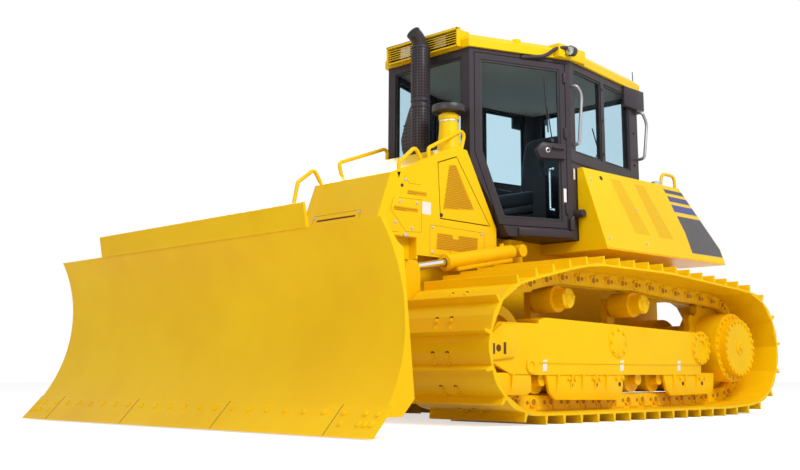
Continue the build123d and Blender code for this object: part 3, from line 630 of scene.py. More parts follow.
# Rings of bolts: centre, radius, how many, and the share of a step that the first is turned by.
HUB_RING = (on_side(SPROCKET, HUB_FACE), 221, 24, 0.0)
FLANGE_RINGS = (
    (on_side(SPROCKET, DRIVE_FACE), 264, 26, 0.5),
    *((on_side(carrier, CARRIER_FACE), 52, 3, 0.0) for carrier in CARRIERS),
    (on_side(EQUALISER, 1276), 96, 8, 0.0),
)
REAR_FLANGE_RING = (on_side(REAR_FLANGE, 1280), 118, 12, 0.0)
FLANGE_BOLT = hexagon_bolt(24, 13)


def dress_wheels():
    """Bolts and covers on the final drives, the carrier rollers and the equaliser's flange."""
    set_out("hub_cover_bolts", chassis_enamel, hexagon_bolt(26, 14), rings_both(HUB_RING))
    set_out("flange_bolts", chassis_enamel, FLANGE_BOLT, rings_both(*FLANGE_RINGS))
    piece("hub_plugs", chassis_enamel, both(
        turned([(-1, 60), (6, 60), (9, 54), (9, 24), (20, 22), (22, 18)], on_side(SPROCKET, HUB_FACE), LEFT),
        turned([(-1, 118), (6, 118), (8, 114)], on_side(EQUALISER, 1269), LEFT, sides=48),
        *(turned([(-1, 30), (4, 30), (6, 26)], on_side(carrier, CARRIER_FACE), LEFT)
          for carrier in CARRIERS)))


# Each roller guard: its (x, z) outline, and where its gussets stand.
GUARDS = (
    (((640, 340), (640, 215), (680, 190), (1040, 190), (1150, 300), (1150, 340)), (850, 1040)),
    (((477, 340), (440, 200), (375, 152), (-380, 140), (-437, 180), (-468, 340)), (355, 194, 63, -95, -232)),
    (((-1010, 340), (-1050, 210), (-1110, 162), (-1728, 170), (-1765, 200), (-1790, 340)),
     (-1150, -1327, -1500)),
)


def gusset(x):
    """A thin triangular rib on a guard's face."""
    foot = GUARD_FACE - 1
    return prism([(x - 9, foot, 330), (x - 9, foot + 23, 330), (x - 9, foot, 200)], (18, 0, 0))


def dress_guards():
    """Roller guards with their gussets, and the rollers' shaft bolts on them."""
    piece("guard_plates", chassis_enamel, both(
        *(side_plate(outline, GUARD_BACK, GUARD_THICK) for outline, _ in GUARDS),
        *(gusset(x) for _, feet in GUARDS for x in feet)), bevel=3, stands_for="roller_guards")
    ends = [sorted((outline[0][0], outline[-1][0])) for outline, _ in GUARDS]
    covered = [x for x in ROLLERS if any(low < x < high for low, high in ends)]
    set_out("guard_bolts", chassis_enamel, hexagon_bolt(26, 15), mirrored_sites(
        [(x + dx, GUARD_FACE, 300) for x in covered for dx in (-38, 38)], LEFT))
    # The holes are dark discs of painted shade.
    set_out("guard_holes", shadowed_hole, [disc(17, 1.2, sides=14)], mirrored_sites(
        [(x, GUARD_FACE, 256) for x in covered], LEFT))


YOKE_COVER = ((962, 665), (827, 650), (793, 523), (842, 443), (1107, 420), (1124, 562))
YOKE_FACE = 1290
FRAME_PLATES = ((497, 388), (-433, 392), (-1234, 396))


def dress_track_frames():
    """Rear flanges, yoke covers, blank plates and lugs on the track frames' outer sides."""
    set_out("rear_flange_bolts", chassis_enamel, FLANGE_BOLT, rings_both(REAR_FLANGE_RING))
    piece("rear_flanges", chassis_enamel, both(
        turned([(0, 138), (14, 138), (18, 134), (18, 60), (6, 56)], on_side(REAR_FLANGE, GUARD_FACE), LEFT,
               sides=48)))
    piece("yoke_covers", chassis_enamel, both(
        side_plate(YOKE_COVER, FRAME_FACE, YOKE_FACE - FRAME_FACE)), bevel=3)
    piece("yoke_slots_shadow", shadowed_hole, both(
        disc(24, 1, (1009, YOKE_FACE, 500), LEFT),
        box(1046, 1072, YOKE_FACE - 0.5, YOKE_FACE + 1, 460, 531),
        box(932, 958, YOKE_FACE - 0.5, YOKE_FACE + 1, 461, 540)))
    piece("frame_plates", blank_vinyl, both(
        *(side_plate(((x - 26, z + 42), (x + 22, z + 36), (x + 26, z - 42), (x - 20, z - 36)), 1270, 1.4)
          for x, z in FRAME_PLATES)), bevel=0.4)
    piece("frame_lugs", chassis_enamel, both(
        turned([(0, 52), (10, 52), (12, 48), (12, 30), (4, 28)], (650, 1269, 384), LEFT),
        box(-1560, 555, 1264, 1276, 402, 416)), bevel=2)


dress_wheels()
dress_guards()
dress_track_frames()

# ---------------------------------------------------------------- cowl and nose
COWL_Y = 505
MESH_FACE = COWL_Y + 1.1  # the perforated sheets' outer face
SHEET_THICK = 1.5
VENTS = (
    ((897, 1653), (894, 1621), (1101, 1617), (1096, 1650)),
    ((990, 1521), (986, 1491), (1231, 1487), (1226, 1519)),
    ((799, 1239), (786, 1362), (622, 1362), (614, 1330), (560, 1330), (552, 1362), (333, 1362), (345, 1239)),
)
DOOR_VENT = ((656, 1894), (579, 1904), (377, 1577), (723, 1547))
HOLE_PITCH, FIRST_ROW = 15, 7
HOLE_MARGIN_X, HOLE_MARGIN_Z = 7, 5
MESH_HOLE = [disc(4.6, 0.7, sides=6)]
BODY_BOLT = hexagon_bolt(15, 8)


def mesh_sites(outline, turn):
    """Staggered holes inside an outline on one side of the cowl."""
    xs, zs = [x for x, _ in outline], [z for _, z in outline]
    row, z = 0, min(zs) + FIRST_ROW
    while z < max(zs):
        x = min(xs) + (row % 2) * HOLE_PITCH / 2
        while x < max(xs):
            if all(inside((x + dx, z + dz), outline) for dx in (-HOLE_MARGIN_X, HOLE_MARGIN_X)
                   for dz in (-HOLE_MARGIN_Z, HOLE_MARGIN_Z)):
                yield site((x, turn * MESH_FACE, z), (0, turn, 0))
            x += HOLE_PITCH
        z += HOLE_PITCH * 0.866
        row += 1


def vent_sheet(outline):
    """A perforated sheet just proud of its opening."""
    return side_plate(outline, MESH_FACE - SHEET_THICK, SHEET_THICK)


JOINT_WIDTH, JOINT_PROUD, SUNK = 3.0, 0.5, 0.2  # the joint lines' width, and how far they stand in and out


def joint_on_side(points):
    """A fine joint line on the cowl's side through the given (x, z) points."""
    for (x0, z0), (x1, z1) in zip(points, points[1:]):
        length = math.hypot(x1 - x0, z1 - z0)
        nx, nz = -(z1 - z0) / length * JOINT_WIDTH / 2, (x1 - x0) / length * JOINT_WIDTH / 2
        yield side_plate(((x0 + nx, z0 + nz), (x1 + nx, z1 + nz), (x1 - nx, z1 - nz), (x0 - nx, z0 - nz)),
                         COWL_Y - SUNK, JOINT_PROUD + SUNK)


COWL_JOINTS = (
    ((1181, 1582), (946, 1590), (954, 1350), (1110, 1340), (1262, 1490), (1236, 1582)),
    ((862, 1415), (262, 1408), (262, 1196), (862, 1196), (862, 1415)),
    ((1180, 1330), (1290, 1330)),
    ((1130, 1750), (1075, 1700), (960, 1702)),
)
COWL_BOLTS = ((1171, 1556), (999, 1560), (1215, 1400), (1050, 1370), (838, 1399), (290, 1394), (838, 1214),
              (290, 1214), (1118, 1722))


def dress_cowl():
    """Perforated sheets, joint lines, bolts, latches and blank plates on the cowl and its doors."""
    piece("cowl_meshes", shaded_mesh_enamel, both(*map(vent_sheet, VENTS)))
    # The sheets' holes, here and on the doors, are dark discs of painted shade.
    set_out("cowl_mesh_holes", mesh_shade, MESH_HOLE, (
        spot for outline in VENTS for turn in (1, -1) for spot in mesh_sites(outline, turn)))
    for label, turn in SIDES:
        door, sheet = f"engine_door_{label}", vent_sheet(DOOR_VENT)
        piece(f"door_mesh_{label}", shaded_mesh_enamel, [sheet if turn > 0 else mirrored(sheet)], body=door)
        set_out(f"door_mesh_holes_{label}", mesh_shade, MESH_HOLE, mesh_sites(DOOR_VENT, turn), door)
        lock = turned([(0, 16), (3, 16), (4, 13)], (742, turn * (COWL_Y - 0.5), 1499), (0, turn, 0), sides=20)
        piece(f"door_lock_{label}", rubber, [lock], body=door)
    piece("cowl_joint_lines", joint_line, both(
        *(bar for points in COWL_JOINTS for bar in joint_on_side(points))))
    # The cut-out that clears the raised push arms has a floor and an inner wall, so the hood stays closed.
    piece("nose_inner_plates", body_enamel, both(
        box(985, 1165, 423, 431, 1150, 1336), box(985, 1165, 424, 500, 1331, 1339),
        box(985, 1003, 424, 500, 1150, 1336)))
    set_out("cowl_bolts", zinc_plate, BODY_BOLT, mirrored_sites(
        [on_side(spot, COWL_Y) for spot in COWL_BOLTS], LEFT))
    piece("cowl_plugs", rubber, both(
        turned([(0, 13), (2.5, 13), (4, 9)], (1151, COWL_Y - SUNK, 1676), LEFT, sides=20)))
    piece("cowl_latch", zinc_plate, both(box(1096, 1138, COWL_Y - 0.5, COWL_Y + 14, 1302, 1326)), bevel=3)
    piece("cowl_plate", blank_vinyl, both(
        side_plate(((852, 1580), (945, 1582), (947, 1490), (855, 1488)), COWL_Y - SUNK, 1.2)))


# The nose's sloping front: its foot, its rise and its lean back, and the way it faces.
NOSE_X, NOSE_Z, NOSE_RISE, NOSE_LEAN = 1403, 1226, 554, 208
NOSE_OUT = Vector((0.936, 0, 0.3515))


def on_nose(y, z, out=0.0):
    """A place on the nose's sloping front."""
    return Vector((NOSE_X - (z - NOSE_Z) * NOSE_LEAN / NOSE_RISE, y, z)) + NOSE_OUT * out


def nose_strip(y0, y1, z0, z1, out):
    """A strip on the nose that stands out by so much."""
    return prism([on_nose(y, z, -0.5) for y, z in ((y0, z0), (y1, z0), (y1, z1), (y0, z1))],
                 NOSE_OUT * (out + 0.5))


def dress_nose():
    """The nose's slot with its lip, and the joint line and bolts of its panel."""
    piece("nose_joint_line", joint_line, [
        nose_strip(-310, 230, 1509, 1512, 0.5), nose_strip(-310, -307, 1440, 1512, 0.5),
        nose_strip(227, 230, 1440, 1512, 0.5)])
    # The slot is a dark strip of painted shade under its lip.
    piece("nose_slot", shadowed_hole, [nose_strip(-258, 180, 1462, 1474, 0.8)])
    piece("nose_slot_lip", body_enamel, [nose_strip(-262, 184, 1474, 1480, 5)], bevel=1)
    set_out("nose_bolts", zinc_plate, BODY_BOLT, (site(on_nose(y, 1494), NOSE_OUT) for y in (-290, 210)))


dress_cowl()
dress_nose()

# ---------------------------------------------------------------- exhaust and air intake
EXHAUST_X, EXHAUST_Y = 513, 50
GUARD_FOOT, GUARD_JOINT = 2032, 2476  # z of the exhaust guard's foot, and of the joint between its two shells
GUARD_R = 78
TIP_LINE = ((EXHAUST_X, EXHAUST_Y, 2900), (EXHAUST_X, EXHAUST_Y, 3010), (602, EXHAUST_Y, 3066))
TIP_OUT = (0.846, 0, 0.533)
SHIELD = ((-40, 2470), (-112, 2466), (-172, 2330), (-213, 2215), (-202, 2127), (-160, 2042), (-40, 2042))
SHIELD_HOLES_X, SHIELD_HOLES_Y = EXHAUST_X + 12, (-128, -100)
HOLES_FOOT, HOLES_TOP, HOLE_COLUMNS = 2100, 2964, 20  # the guard's holes: lowest row, end, and how many round
PRECLEANER_X, PRECLEANER_Y = 530, 385


def perforations():
    """Rows of holes round the exhaust guard, and two columns down its heat shield."""
    for z in range(HOLES_FOOT, HOLES_TOP, 24):
        if abs(z - GUARD_JOINT) < 16:
            continue
        for n in range(HOLE_COLUMNS):
            angle = 2 * math.pi * n / HOLE_COLUMNS
            out = Vector((math.cos(angle), math.sin(angle), 0))
            yield site(Vector((EXHAUST_X, EXHAUST_Y, z)) + out * (GUARD_R - 0.1), out)
    for z in range(HOLES_FOOT, SHIELD[2][1], 32):  # up to where the shield narrows
        for y in SHIELD_HOLES_Y:
            yield site((SHIELD_HOLES_X, y, z), AHEAD)


def dress_exhaust():
    """The perforated guard with its heat shield, and the curved tip."""
    # The holes are black discs of painted shade.
    set_out("exhaust_perforations", black_hole, [disc(7.5, 0.9, sides=8)], perforations())
    piece("exhaust_guard", cab_coating, [
        turned([(0, 78), (445, 78), (447, 71), (455, 71), (457, 78), (928, 78), (930, 66)],
               (EXHAUST_X, EXHAUST_Y, GUARD_FOOT), UP, sides=56),
        prism([(EXHAUST_X - 12, EXHAUST_Y + y, z) for y, z in SHIELD], (24, 0, 0))],
        bevel=1.5, stands_for="exhaust_stack")
    piece("exhaust_tip", cab_coating, [pipe(TIP_LINE, 60, 70, sides=40, steps=10)])
    # The tip's mouth is closed by a black disc of painted shade.
    piece("exhaust_mouth", black_hole, [disc(54, 2, (601, EXHAUST_Y, 3066), TIP_OUT, sides=40)])
    piece("exhaust_lip", cab_coating, [disc(61.5, 9, (592, EXHAUST_Y, 3060.5), TIP_OUT, sides=40)],
          bevel=1)
    piece("exhaust_bands", cab_coating, [
        disc(81, 16, (EXHAUST_X, EXHAUST_Y, z), UP, sides=40) for z in (2072, 2446, 2496, 2940)], bevel=1)


def dress_air_intake():
    """The pre-cleaner's conical neck, its clamp and its bowl."""
    piece("precleaner_neck", body_enamel, [
        turned([(0, 100), (60, 92), (150, 80), (259, 74), (262, 82), (296, 82), (298, 60), (330, 60)],
               (PRECLEANER_X, PRECLEANER_Y, 2026), UP, sides=48)], stands_for="air_precleaner")
    piece("precleaner_bowl", moulded_plastic, [
        turned([(0, 92), (2, 124), (8, 132), (16, 135), (52, 135), (60, 132), (66, 122), (70, 60), (82, 47),
                (86, 40)],
               (PRECLEANER_X, PRECLEANER_Y, 2338), UP, sides=56)], slot="lamp_plastic")
    piece("precleaner_clamp", zinc_plate, [
        disc(79, 12, (PRECLEANER_X, PRECLEANER_Y, 2266), UP, sides=40)], bevel=1)


dress_exhaust()
dress_air_intake()

# ---------------------------------------------------------------- side bodies
SIDE_OUT = Vector((0, 0.9487, 0.3162))  # the way their sloping sides face
SIDE_FOOT_Y, SIDE_FOOT_Z, SIDE_STEEPNESS = 1080, 1310, 3  # the slopes' foot, and their rise to their run
REAR_TOP_X, REAR_TOP_Z, REAR_END_X = -2034, 2001, -2404  # the rear edge's upper corner, and its upright part
REAR_RUN, REAR_RISE = 374, 551


def on_side_body(x, z, out=0.0):
    """A place on the left side body's sloping side, or so far out of it."""
    return Vector((x, SIDE_FOOT_Y - (z - SIDE_FOOT_Z) / SIDE_STEEPNESS, z)) + SIDE_OUT * out


def rear_edge(z):
    """x of the side body's rear edge at that height."""
    return max(REAR_END_X, REAR_TOP_X - (REAR_TOP_Z - z) * REAR_RUN / REAR_RISE)


REAR_CORNER_Z = 1460  # where the rear edge turns upright


def film(front_edge, low_out, high_out, grow=0.0):
    """A strip of film from its front edge, given as (x, z) downwards, back to the body's rear edge."""
    edge = [(x + grow, z) for x, z in front_edge]
    edge[0] = (edge[0][0], edge[0][1] + grow)
    edge[-1] = (edge[-1][0], edge[-1][1] - grow)
    top, foot = edge[0][1], edge[-1][1]
    heights = [foot, REAR_CORNER_Z, top] if foot < REAR_CORNER_Z else [foot, top]
    back = [(rear_edge(z) + 2, z) for z in heights]
    return prism([on_side_body(x, z, low_out) for x, z in edge + back], SIDE_OUT * (high_out - low_out))


def crease(x):
    """A slanting pressed band of painted shade, from its upper front corner's x."""
    corners = ((x, 1950), (x - 150, 1950), (x - 350, 1480), (x - 130, 1480))
    return prism([on_side_body(*corner, 0.1) for corner in corners], SIDE_OUT * 0.5)


STRIPES = (
    ("stripe_top", stripe_black, ((-1756, 1962), (-1777, 1928))),
    ("stripe_middle", stripe_violet, ((-1785, 1898), (-1797, 1850))),
    ("stripe_low", stripe_blue, ((-1804, 1820), (-1817, 1755))),
    ("rear_panel", panel_black, ((-1834, 1716), (-1880, 1560), (-1880, 1380))),
)
SIDE_BODY_BOLTS = ((-640, 1400), (-640, 1900), (-1180, 1400), (-1180, 1700))


def dress_side_bodies():
    """Stripe films, creases, plugs, bolts and the filler caps."""
    for name, finish, edge in STRIPES:
        piece(name, finish, both(film(edge, 0.7, 1.4)))
    piece("stripe_border", border_cream, both(*(film(edge, 0.1, 0.7, grow=9) for _, _, edge in STRIPES)))
    piece("side_body_creases", crease_shade, both(crease(-930), crease(-1290)))
    piece("side_body_plugs", rubber, both(
        turned([(0, 20), (2, 20), (3, 15)], on_side_body(-798, 1935, -0.2), SIDE_OUT, sides=24)))
    piece("side_body_lower_roll", body_enamel, both(
        pipe([(-590, 1066, 1324), (-2396, 1066, 1324)], 16, 1)))
    piece("filler_caps", zinc_plate, both(
        turned([(0, 46), (44, 46), (48, 50), (58, 50), (66, 40), (70, 22)], (-1870, 720, 1996), UP,
               sides=36)))
    set_out("side_body_bolts", zinc_plate, BODY_BOLT, mirrored_sites(
        [on_side_body(*spot) for spot in SIDE_BODY_BOLTS], SIDE_OUT))


dress_side_bodies()

# ---------------------------------------------------------------- cab walls, windows and doors
CAB_FRONT, CAB_MIDDLE, CAB_REAR = (380, 470), (-495, 800), (-1760, 612)  # x, y of the left half's corners
DOOR_LENGTH, SIDE_LENGTH = math.dist(CAB_FRONT, CAB_MIDDLE), math.dist(CAB_MIDDLE, CAB_REAR)
CAB_OUTLINE = [CAB_FRONT, CAB_MIDDLE, CAB_REAR, *((x, -y) for x, y in (CAB_REAR, CAB_MIDDLE, CAB_FRONT))]


class Wall:
    """A flat upright wall: a start, a direction along it, and a direction out of the cab."""

    def __init__(self, start, end):
        self.start = Vector((*start, 0))
        self.run = (Vector((*end, 0)) - self.start).normalized()
        self.out = self.run.cross(Vector(UP))
        cab_middle = Vector((CAB_MIDDLE[0], 0, 0))
        if self.out.dot(self.start - cab_middle) < 0:
            self.out.negate()

    def at(self, along, z, out=0.0):
        """A place on the wall, or so far out of it."""
        return self.start + self.run * along + self.out * out + Vector((0, 0, z))

    def plate(self, outline, low, high):
        """A plate from an (along, z) outline, between two distances out of the wall."""
        return prism([self.at(along, z, low) for along, z in outline], self.out * (high - low))

    def stub(self, along, z, out, profile, sides=24):
        """A turned shape that stands out of the wall."""
        return turned(profile, self.at(along, z, out), self.out, sides)


DOOR_WALL, SIDE_WALL = Wall(CAB_FRONT, CAB_MIDDLE), Wall(CAB_MIDDLE, CAB_REAR)
FRONT_WALL = Wall((CAB_FRONT[0], -385), (CAB_FRONT[0], 385))
REAR_WALL = Wall((CAB_REAR[0], -480), (CAB_REAR[0], 480))
SILL, HEAD = 2130, 2840  # the side and rear windows' lower and upper edges


def opening(start, end, foot, top=HEAD):
    """A four-sided (along, z) outline."""
    return (start, foot), (end, foot), (end, top), (start, top)


SIDE_PANES = (opening(70, 560, SILL), opening(610, SIDE_LENGTH - 170, SILL))
FRONT_PANE, REAR_PANE = opening(0, 770, 2090), opening(0, 960, SILL)
DOOR_REAR = DOOR_LENGTH - 100
DOOR_WINDOW = ((95, 2815), (95, 2062), (292, 1540), (DOOR_REAR, 1540), (DOOR_REAR, 2815))
LATCH_COVER = ((590, 2110), (640, 2175), (DOOR_LENGTH - 70, 2175), (DOOR_LENGTH - 70, 2050), (620, 2045))
SEAL_WIDTH = 20


def inner_loop(outline, amount):
    """The outline moved in by an amount all round."""
    area = sum(x0 * z1 - x1 * z0 for (x0, z0), (x1, z1) in zip(outline, outline[1:] + outline[:1]))
    turn = 1 if area > 0 else -1
    loop = []
    for before, corner, after in zip(outline[-1:] + outline[:-1], outline, outline[1:] + outline[:1]):
        reach = (Vector(corner) - Vector(before)).normalized()
        leave = (Vector(after) - Vector(corner)).normalized()
        inwards, next_inwards = Vector((-reach.y, reach.x)) * turn, Vector((-leave.y, leave.x)) * turn
        mitre = (inwards + next_inwards).normalized()
        loop.append(tuple(Vector(corner) + mitre * (amount / max(mitre.dot(inwards), 0.3))))
    return loop


def surround(wall, outline, low, high):
    """A rubber seal that runs inside the outline, as one bar for each side."""
    outline = list(outline)
    inner = inner_loop(outline, SEAL_WIDTH)
    for n in range(len(outline)):
        m = (n + 1) % len(outline)
        yield wall.plate([outline[n], outline[m], inner[m], inner[n]], low, high)


def dress_windows():
    """Seals round the fixed panes."""
    sides = [bar for pane in SIDE_PANES for bar in surround(SIDE_WALL, pane, -24, -6)]
    ends = [*surround(FRONT_WALL, FRONT_PANE, -24, -6), *surround(REAR_WALL, REAR_PANE, -24, -6)]
    piece("cab_window_seals", rubber, both(*sides) + ends, bevel=2)


LOCK_AT = (690, 2112)
COVER_FACE = 33
GRAB_LOOP = ((1640, -40), (1640, -92), (1980, -92), (1980, -40))  # z and depth inside the door
HANDLE = ((735, COVER_FACE), (735, 56), (835, 56), (835, COVER_FACE))  # along the door and out of it
DOOR_SPINDLE, DOOR_ARM_TIP = (742, 2196), (706, 2480)


def wiper(profile, spindle, out, arm, blade):
    """A turned spindle, then an arm and a blade, each between two points."""
    return [turned(profile, spindle, out, sides=20), pipe(arm, 5, 1, sides=8), pipe(blade, 6, 1, sides=8)]


def dress_cab_door(label, turn):
    """Seal, latch cover, lock, handle, inner grab loop, hinges, blank plate and wiper on one cab door."""
    def fit(name, finish, shapes, bevel=0.0):
        """A piece on this door, from the left door's shapes."""
        own = [shape if turn > 0 else mirrored(shape) for shape in shapes]
        piece(name, finish, own, bevel, f"cab_door_{label}")
    wall = DOOR_WALL
    fit(f"door_seal_{label}", rubber, surround(wall, DOOR_WINDOW, -22, -5), bevel=2)
    fit(f"door_latch_cover_{label}", cab_coating, [wall.plate(LATCH_COVER, -16, COVER_FACE + 1)], bevel=6)
    fit(f"door_lock_{label}_ring", zinc_plate, [
        wall.stub(*LOCK_AT, COVER_FACE, [(0, 20), (4, 20), (6, 16)], sides=28)])
    fit(f"door_lock_{label}_face", rubber, [wall.stub(*LOCK_AT, COVER_FACE, [(0, 13), (8, 13), (9, 11)])])
    fit(f"door_handle_{label}", moulded_plastic, [
        pipe([wall.at(along, 2134, out) for along, out in HANDLE], 8, 14)])
    fit(f"door_grab_loop_{label}", hard_chrome, [
        pipe([wall.at(780, z, out) for z, out in GRAB_LOOP], 10, 30)])
    fit(f"door_hinges_{label}", cab_coating, [
        disc(13, 84, wall.at(DOOR_LENGTH - 58, z, 6), UP, sides=20) for z in (1600, 2230, 2700)], bevel=2)
    fit(f"door_plate_{label}", blank_vinyl, [wall.plate(opening(852, 878, 1700, 1812), -0.3, 0.8)])
    # The wiper's arm runs from its spindle, and its blade hangs on the arm's end.
    tip_along, tip_z = DOOR_ARM_TIP
    fit(f"door_wiper_{label}", rubber, wiper(
        [(-16, 16), (24, 16), (28, 10)], wall.at(*DOOR_SPINDLE, 2), wall.out,
        [wall.at(*DOOR_SPINDLE, 20), wall.at(*DOOR_ARM_TIP, 10)],
        [wall.at(tip_along + 14, tip_z - 210, -4), wall.at(tip_along - 14, tip_z + 250, -4)]))


FRONT_GRAB = ((-520, 785, 2690), (-520, 850, 2690), (-590, 850, 2620), (-540, 850, 2190), (-540, 785, 2190))
REAR_GRAB = ((-1735, 600, 2697), (-1735, 690, 2697), (-1800, 690, 2600), (-1740, 690, 2262),
             (-1740, 600, 2262))
CORNER_COVER = ((-1802, 560), (-1802, 668), (-1480, 672), (-1480, 640), (-1758, 600), (-1758, 560))
CORNER_COVER_Z = (2720, 2904)
LAMP_ARM = ((-60, 640, 2876), (-250, 742, 2900), (-330, 806, 2984), (-450, 862, 2990))
SIDE_BOLTS = ((585, 2200), (585, 2500), (585, 2780), (SIDE_LENGTH - 80, 2200), (SIDE_LENGTH - 80, 2500))
AERIAL_FOOT, AERIAL_WHIP = (-1800, 560, 2906), ((-1800, 560, 2920), (-1790, 560, 3120))


def dress_cab_outside():
    """Wipers, grab bars, covers, lamp arms, sill strips, bolts, blank plates and the aerial."""
    piece("front_wiper", rubber, wiper(
        [(-18, 18), (22, 18), (26, 11)], (384, 40, 2112), AHEAD,
        [(402, 40, 2112), (392, -130, 2420)], [(374, -190, 2190), (374, -70, 2650)]))
    piece("rear_wiper", rubber, wiper(
        [(-18, 18), (18, 18), (22, 11)], (-1762, 0, 2160), BACK,
        [(-1778, 0, 2160), (-1768, 170, 2420)], [(-1752, 230, 2220), (-1752, 110, 2640)]))
    piece("cab_grab_bars", satin_steel, both(pipe(FRONT_GRAB, 14, 40), pipe(REAR_GRAB, 14, 40)))
    low, high = CORNER_COVER_Z
    piece("cab_corner_covers", cab_coating, both(
        prism([(x, y, low) for x, y in CORNER_COVER], (0, 0, high - low)),
        turned([(0, 33), (96, 33), (100, 29)], (-531, 786, 1610), LEFT)), bevel=5)
    piece("lamp_arms", cab_coating, both(pipe(LAMP_ARM, 15, 60)))
    piece("cab_sill_step", cab_coating, both(
        SIDE_WALL.plate(opening(0, SIDE_LENGTH, 2040, 2058), -2, 8)), bevel=2)
    set_out("cab_bolts", cab_coating, hexagon_bolt(18, 9), mirrored_sites(
        [SIDE_WALL.at(*spot) for spot in SIDE_BOLTS], SIDE_WALL.out))
    # The kick plate under the door and the hinge cover behind it.
    rear = DOOR_LENGTH - 2
    piece("cab_foot_covers", cab_coating, both(
        DOOR_WALL.plate(((420, 1404), (420, 1466), (DOOR_LENGTH - 6, 1466), (DOOR_LENGTH - 6, 1404)), -4, 22),
        DOOR_WALL.plate(((rear - 38, 1470), (rear - 38, 1560), (rear - 10, 1590), (rear, 1590), (rear, 1470)),
                        -4, 30)), bevel=6)
    piece("pillar_plates", blank_vinyl, both(SIDE_WALL.plate(opening(26, 52, 1900, 1990), -0.3, 0.8)))
    piece("cab_aerial", rubber, [
        turned([(0, 16), (18, 15), (26, 5)], AERIAL_FOOT, UP, sides=20),
        pipe(AERIAL_WHIP, 4, 1, sides=8)])


dress_windows()
for label, turn in SIDES:
    dress_cab_door(label, turn)
dress_cab_outside()

# ---------------------------------------------------------------- roof and its lamps
ROOF_Z, ROOF_TOP = 2906, 3019
ROOF_POD = ((-330, 640), (-330, 826), (-690, 826), (-745, 640))
GUARD_X, GUARD_HALF, GUARD_Z = (418, 462), 412, (2908, 3064)
GUARD_BAR_ROWS = (2944, 2964, 2984, 3004, 3024)
FRONT_LAMP_Y, REAR_LAMP_Y, SIDE_LAMP_Y = 205, 560, 876
FRONT_LAMP_Z, SIDE_LAMP_Z = (2930, 3038), 2957


def upright_frame(x, y, z, foot, head, stile):
    """Four bars round an upright opening: outer limits, then the lower, upper and side bars' widths."""
    return [box(*x, *y, z[1] - head, z[1]), box(*x, *y, z[0], z[0] + foot),
            box(*x, y[0], y[0] + stile, *z), box(*x, y[1] - stile, y[1], *z)]


def front_lamp(y):
    """The bezel, mirror and lens of a square lamp behind the guard."""
    low, high = FRONT_LAMP_Z
    head, foot, *stiles = upright_frame((436, 446), (y - 74, y + 74), FRONT_LAMP_Z, 10, 10, 10)
    bezel = [box(423, 436, y - 74, y + 74, low, high), foot, head, *stiles]
    return (bezel, box(436, 438, y - 63, y + 63, low + 11, high - 11),
            box(443, 445, y - 63.5, y + 63.5, low + 10.5, high - 10.5))


def rear_lamp(y):
    """The case, mirror and lens of a square lamp over the rear window."""
    return ([box(-1846, -1786, y - 60, y + 60, 2786, 2884)], box(-1849, -1845, y - 50, y + 50, 2796, 2874),
            box(-1854, -1850, y - 52, y + 52, 2794, 2876))


def side_lamp(turn):
    """The bowl with its bracket, mirror and lens of a round lamp on the roof's side."""
    y = turn * SIDE_LAMP_Y
    bowl = turned([(0, 30), (14, 42), (66, 44), (68, 40), (60, 38)], (-474, y, SIDE_LAMP_Z), AHEAD, sides=36)
    bracket = box(-482, -466, *sorted((turn * 820, turn * 880)), 2936, 2978)
    return ([bowl, bracket], disc(38, 3, (-412, y, SIDE_LAMP_Z), AHEAD, sides=36),
            turned([(0, 39), (2, 39), (5, 26), (6, 9)], (-409, y, SIDE_LAMP_Z), AHEAD, sides=36))


def dress_roof():
    """Pods, the barred lamp guard and all lamps."""
    piece("roof_pods", body_enamel, both(
        prism([(x, y, ROOF_Z) for x, y in ROOF_POD], (0, 0, ROOF_TOP - ROOF_Z)),
        turned([(0, 38), (34, 38), (40, 30)], (-51, 600, 2990), UP, sides=36)), bevel=14)
    piece("lamp_guard_frame", body_enamel, upright_frame(
        GUARD_X, (-GUARD_HALF, GUARD_HALF), GUARD_Z, 14, 18, 14), bevel=3)
    bar_x, bar_y = GUARD_X[1] - 6, GUARD_HALF - 8
    piece("lamp_guard_bars", body_enamel, [
        pipe([(bar_x, -bar_y, z), (bar_x, bar_y, z)], 4, 1, sides=10) for z in GUARD_BAR_ROWS])
    # A black sheet of painted shade behind the bars.
    piece("lamp_guard_back", black_hole, [box(419, 423, -399, 399, 2921, 3047)])
    lamps = [front_lamp(y) for y in (-FRONT_LAMP_Y, FRONT_LAMP_Y)]
    lamps += [rear_lamp(y) for y in (-REAR_LAMP_Y, REAR_LAMP_Y)]
    lamps += [side_lamp(turn) for turn in (-1, 1)]
    piece("lamp_bezels", moulded_plastic, [shape for bezel, _, _ in lamps for shape in bezel],
          bevel=2, slot="lamp_plastic", stands_for="roof_lamps")
    piece("lamp_mirrors", lamp_reflector, [mirror for _, mirror, _ in lamps])
    piece("lamp_lenses", lamp_lens, [lens for _, _, lens in lamps])


dress_roof()

# ---------------------------------------------------------------- inside the cab
FLOOR_Z, HEADLINER_Z = 1461, 2852
FLOOR_MAT = [(20, 470), (-480, 720), (-1690, 548)]
SEAT_LEAN, SEAT_HINGE = 9, (-1110, 0, 1890)
CUSHION_MIDDLE, CUSHION_HALF = (-905, 0, 1830), (262, 258, 70)
BACKREST_MIDDLE, BACKREST_HALF = (-1110, 0, 2180), (72, 240, 300)
BOOT = ((0, 34), (14, 34), (26, 24), (40, 12), (90, 11))  # the joystick's boot and stem, then its grip
GRIP = ((0, 13), (12, 22), (60, 24), (88, 20), (100, 12))
LEVER_LEAN = (0.15, 0, 1)
MONITOR_LEAN, MONITOR_HINGE = -14, (140, -170, 2040)


def dress_cab_lining():
    """The headliner and the floor mat."""
    piece("cab_headliner", needle_felt, [
        prism([(x, y, HEADLINER_Z) for x, y in inner_loop(CAB_OUTLINE, 62)], (0, 0, 50))], bevel=10)
    mat = FLOOR_MAT + [(x, -y) for x, y in reversed(FLOOR_MAT)]
    piece("cab_floor_mat", floor_mat, [prism([(x, y, FLOOR_Z) for x, y in mat], (0, 0, 6))])


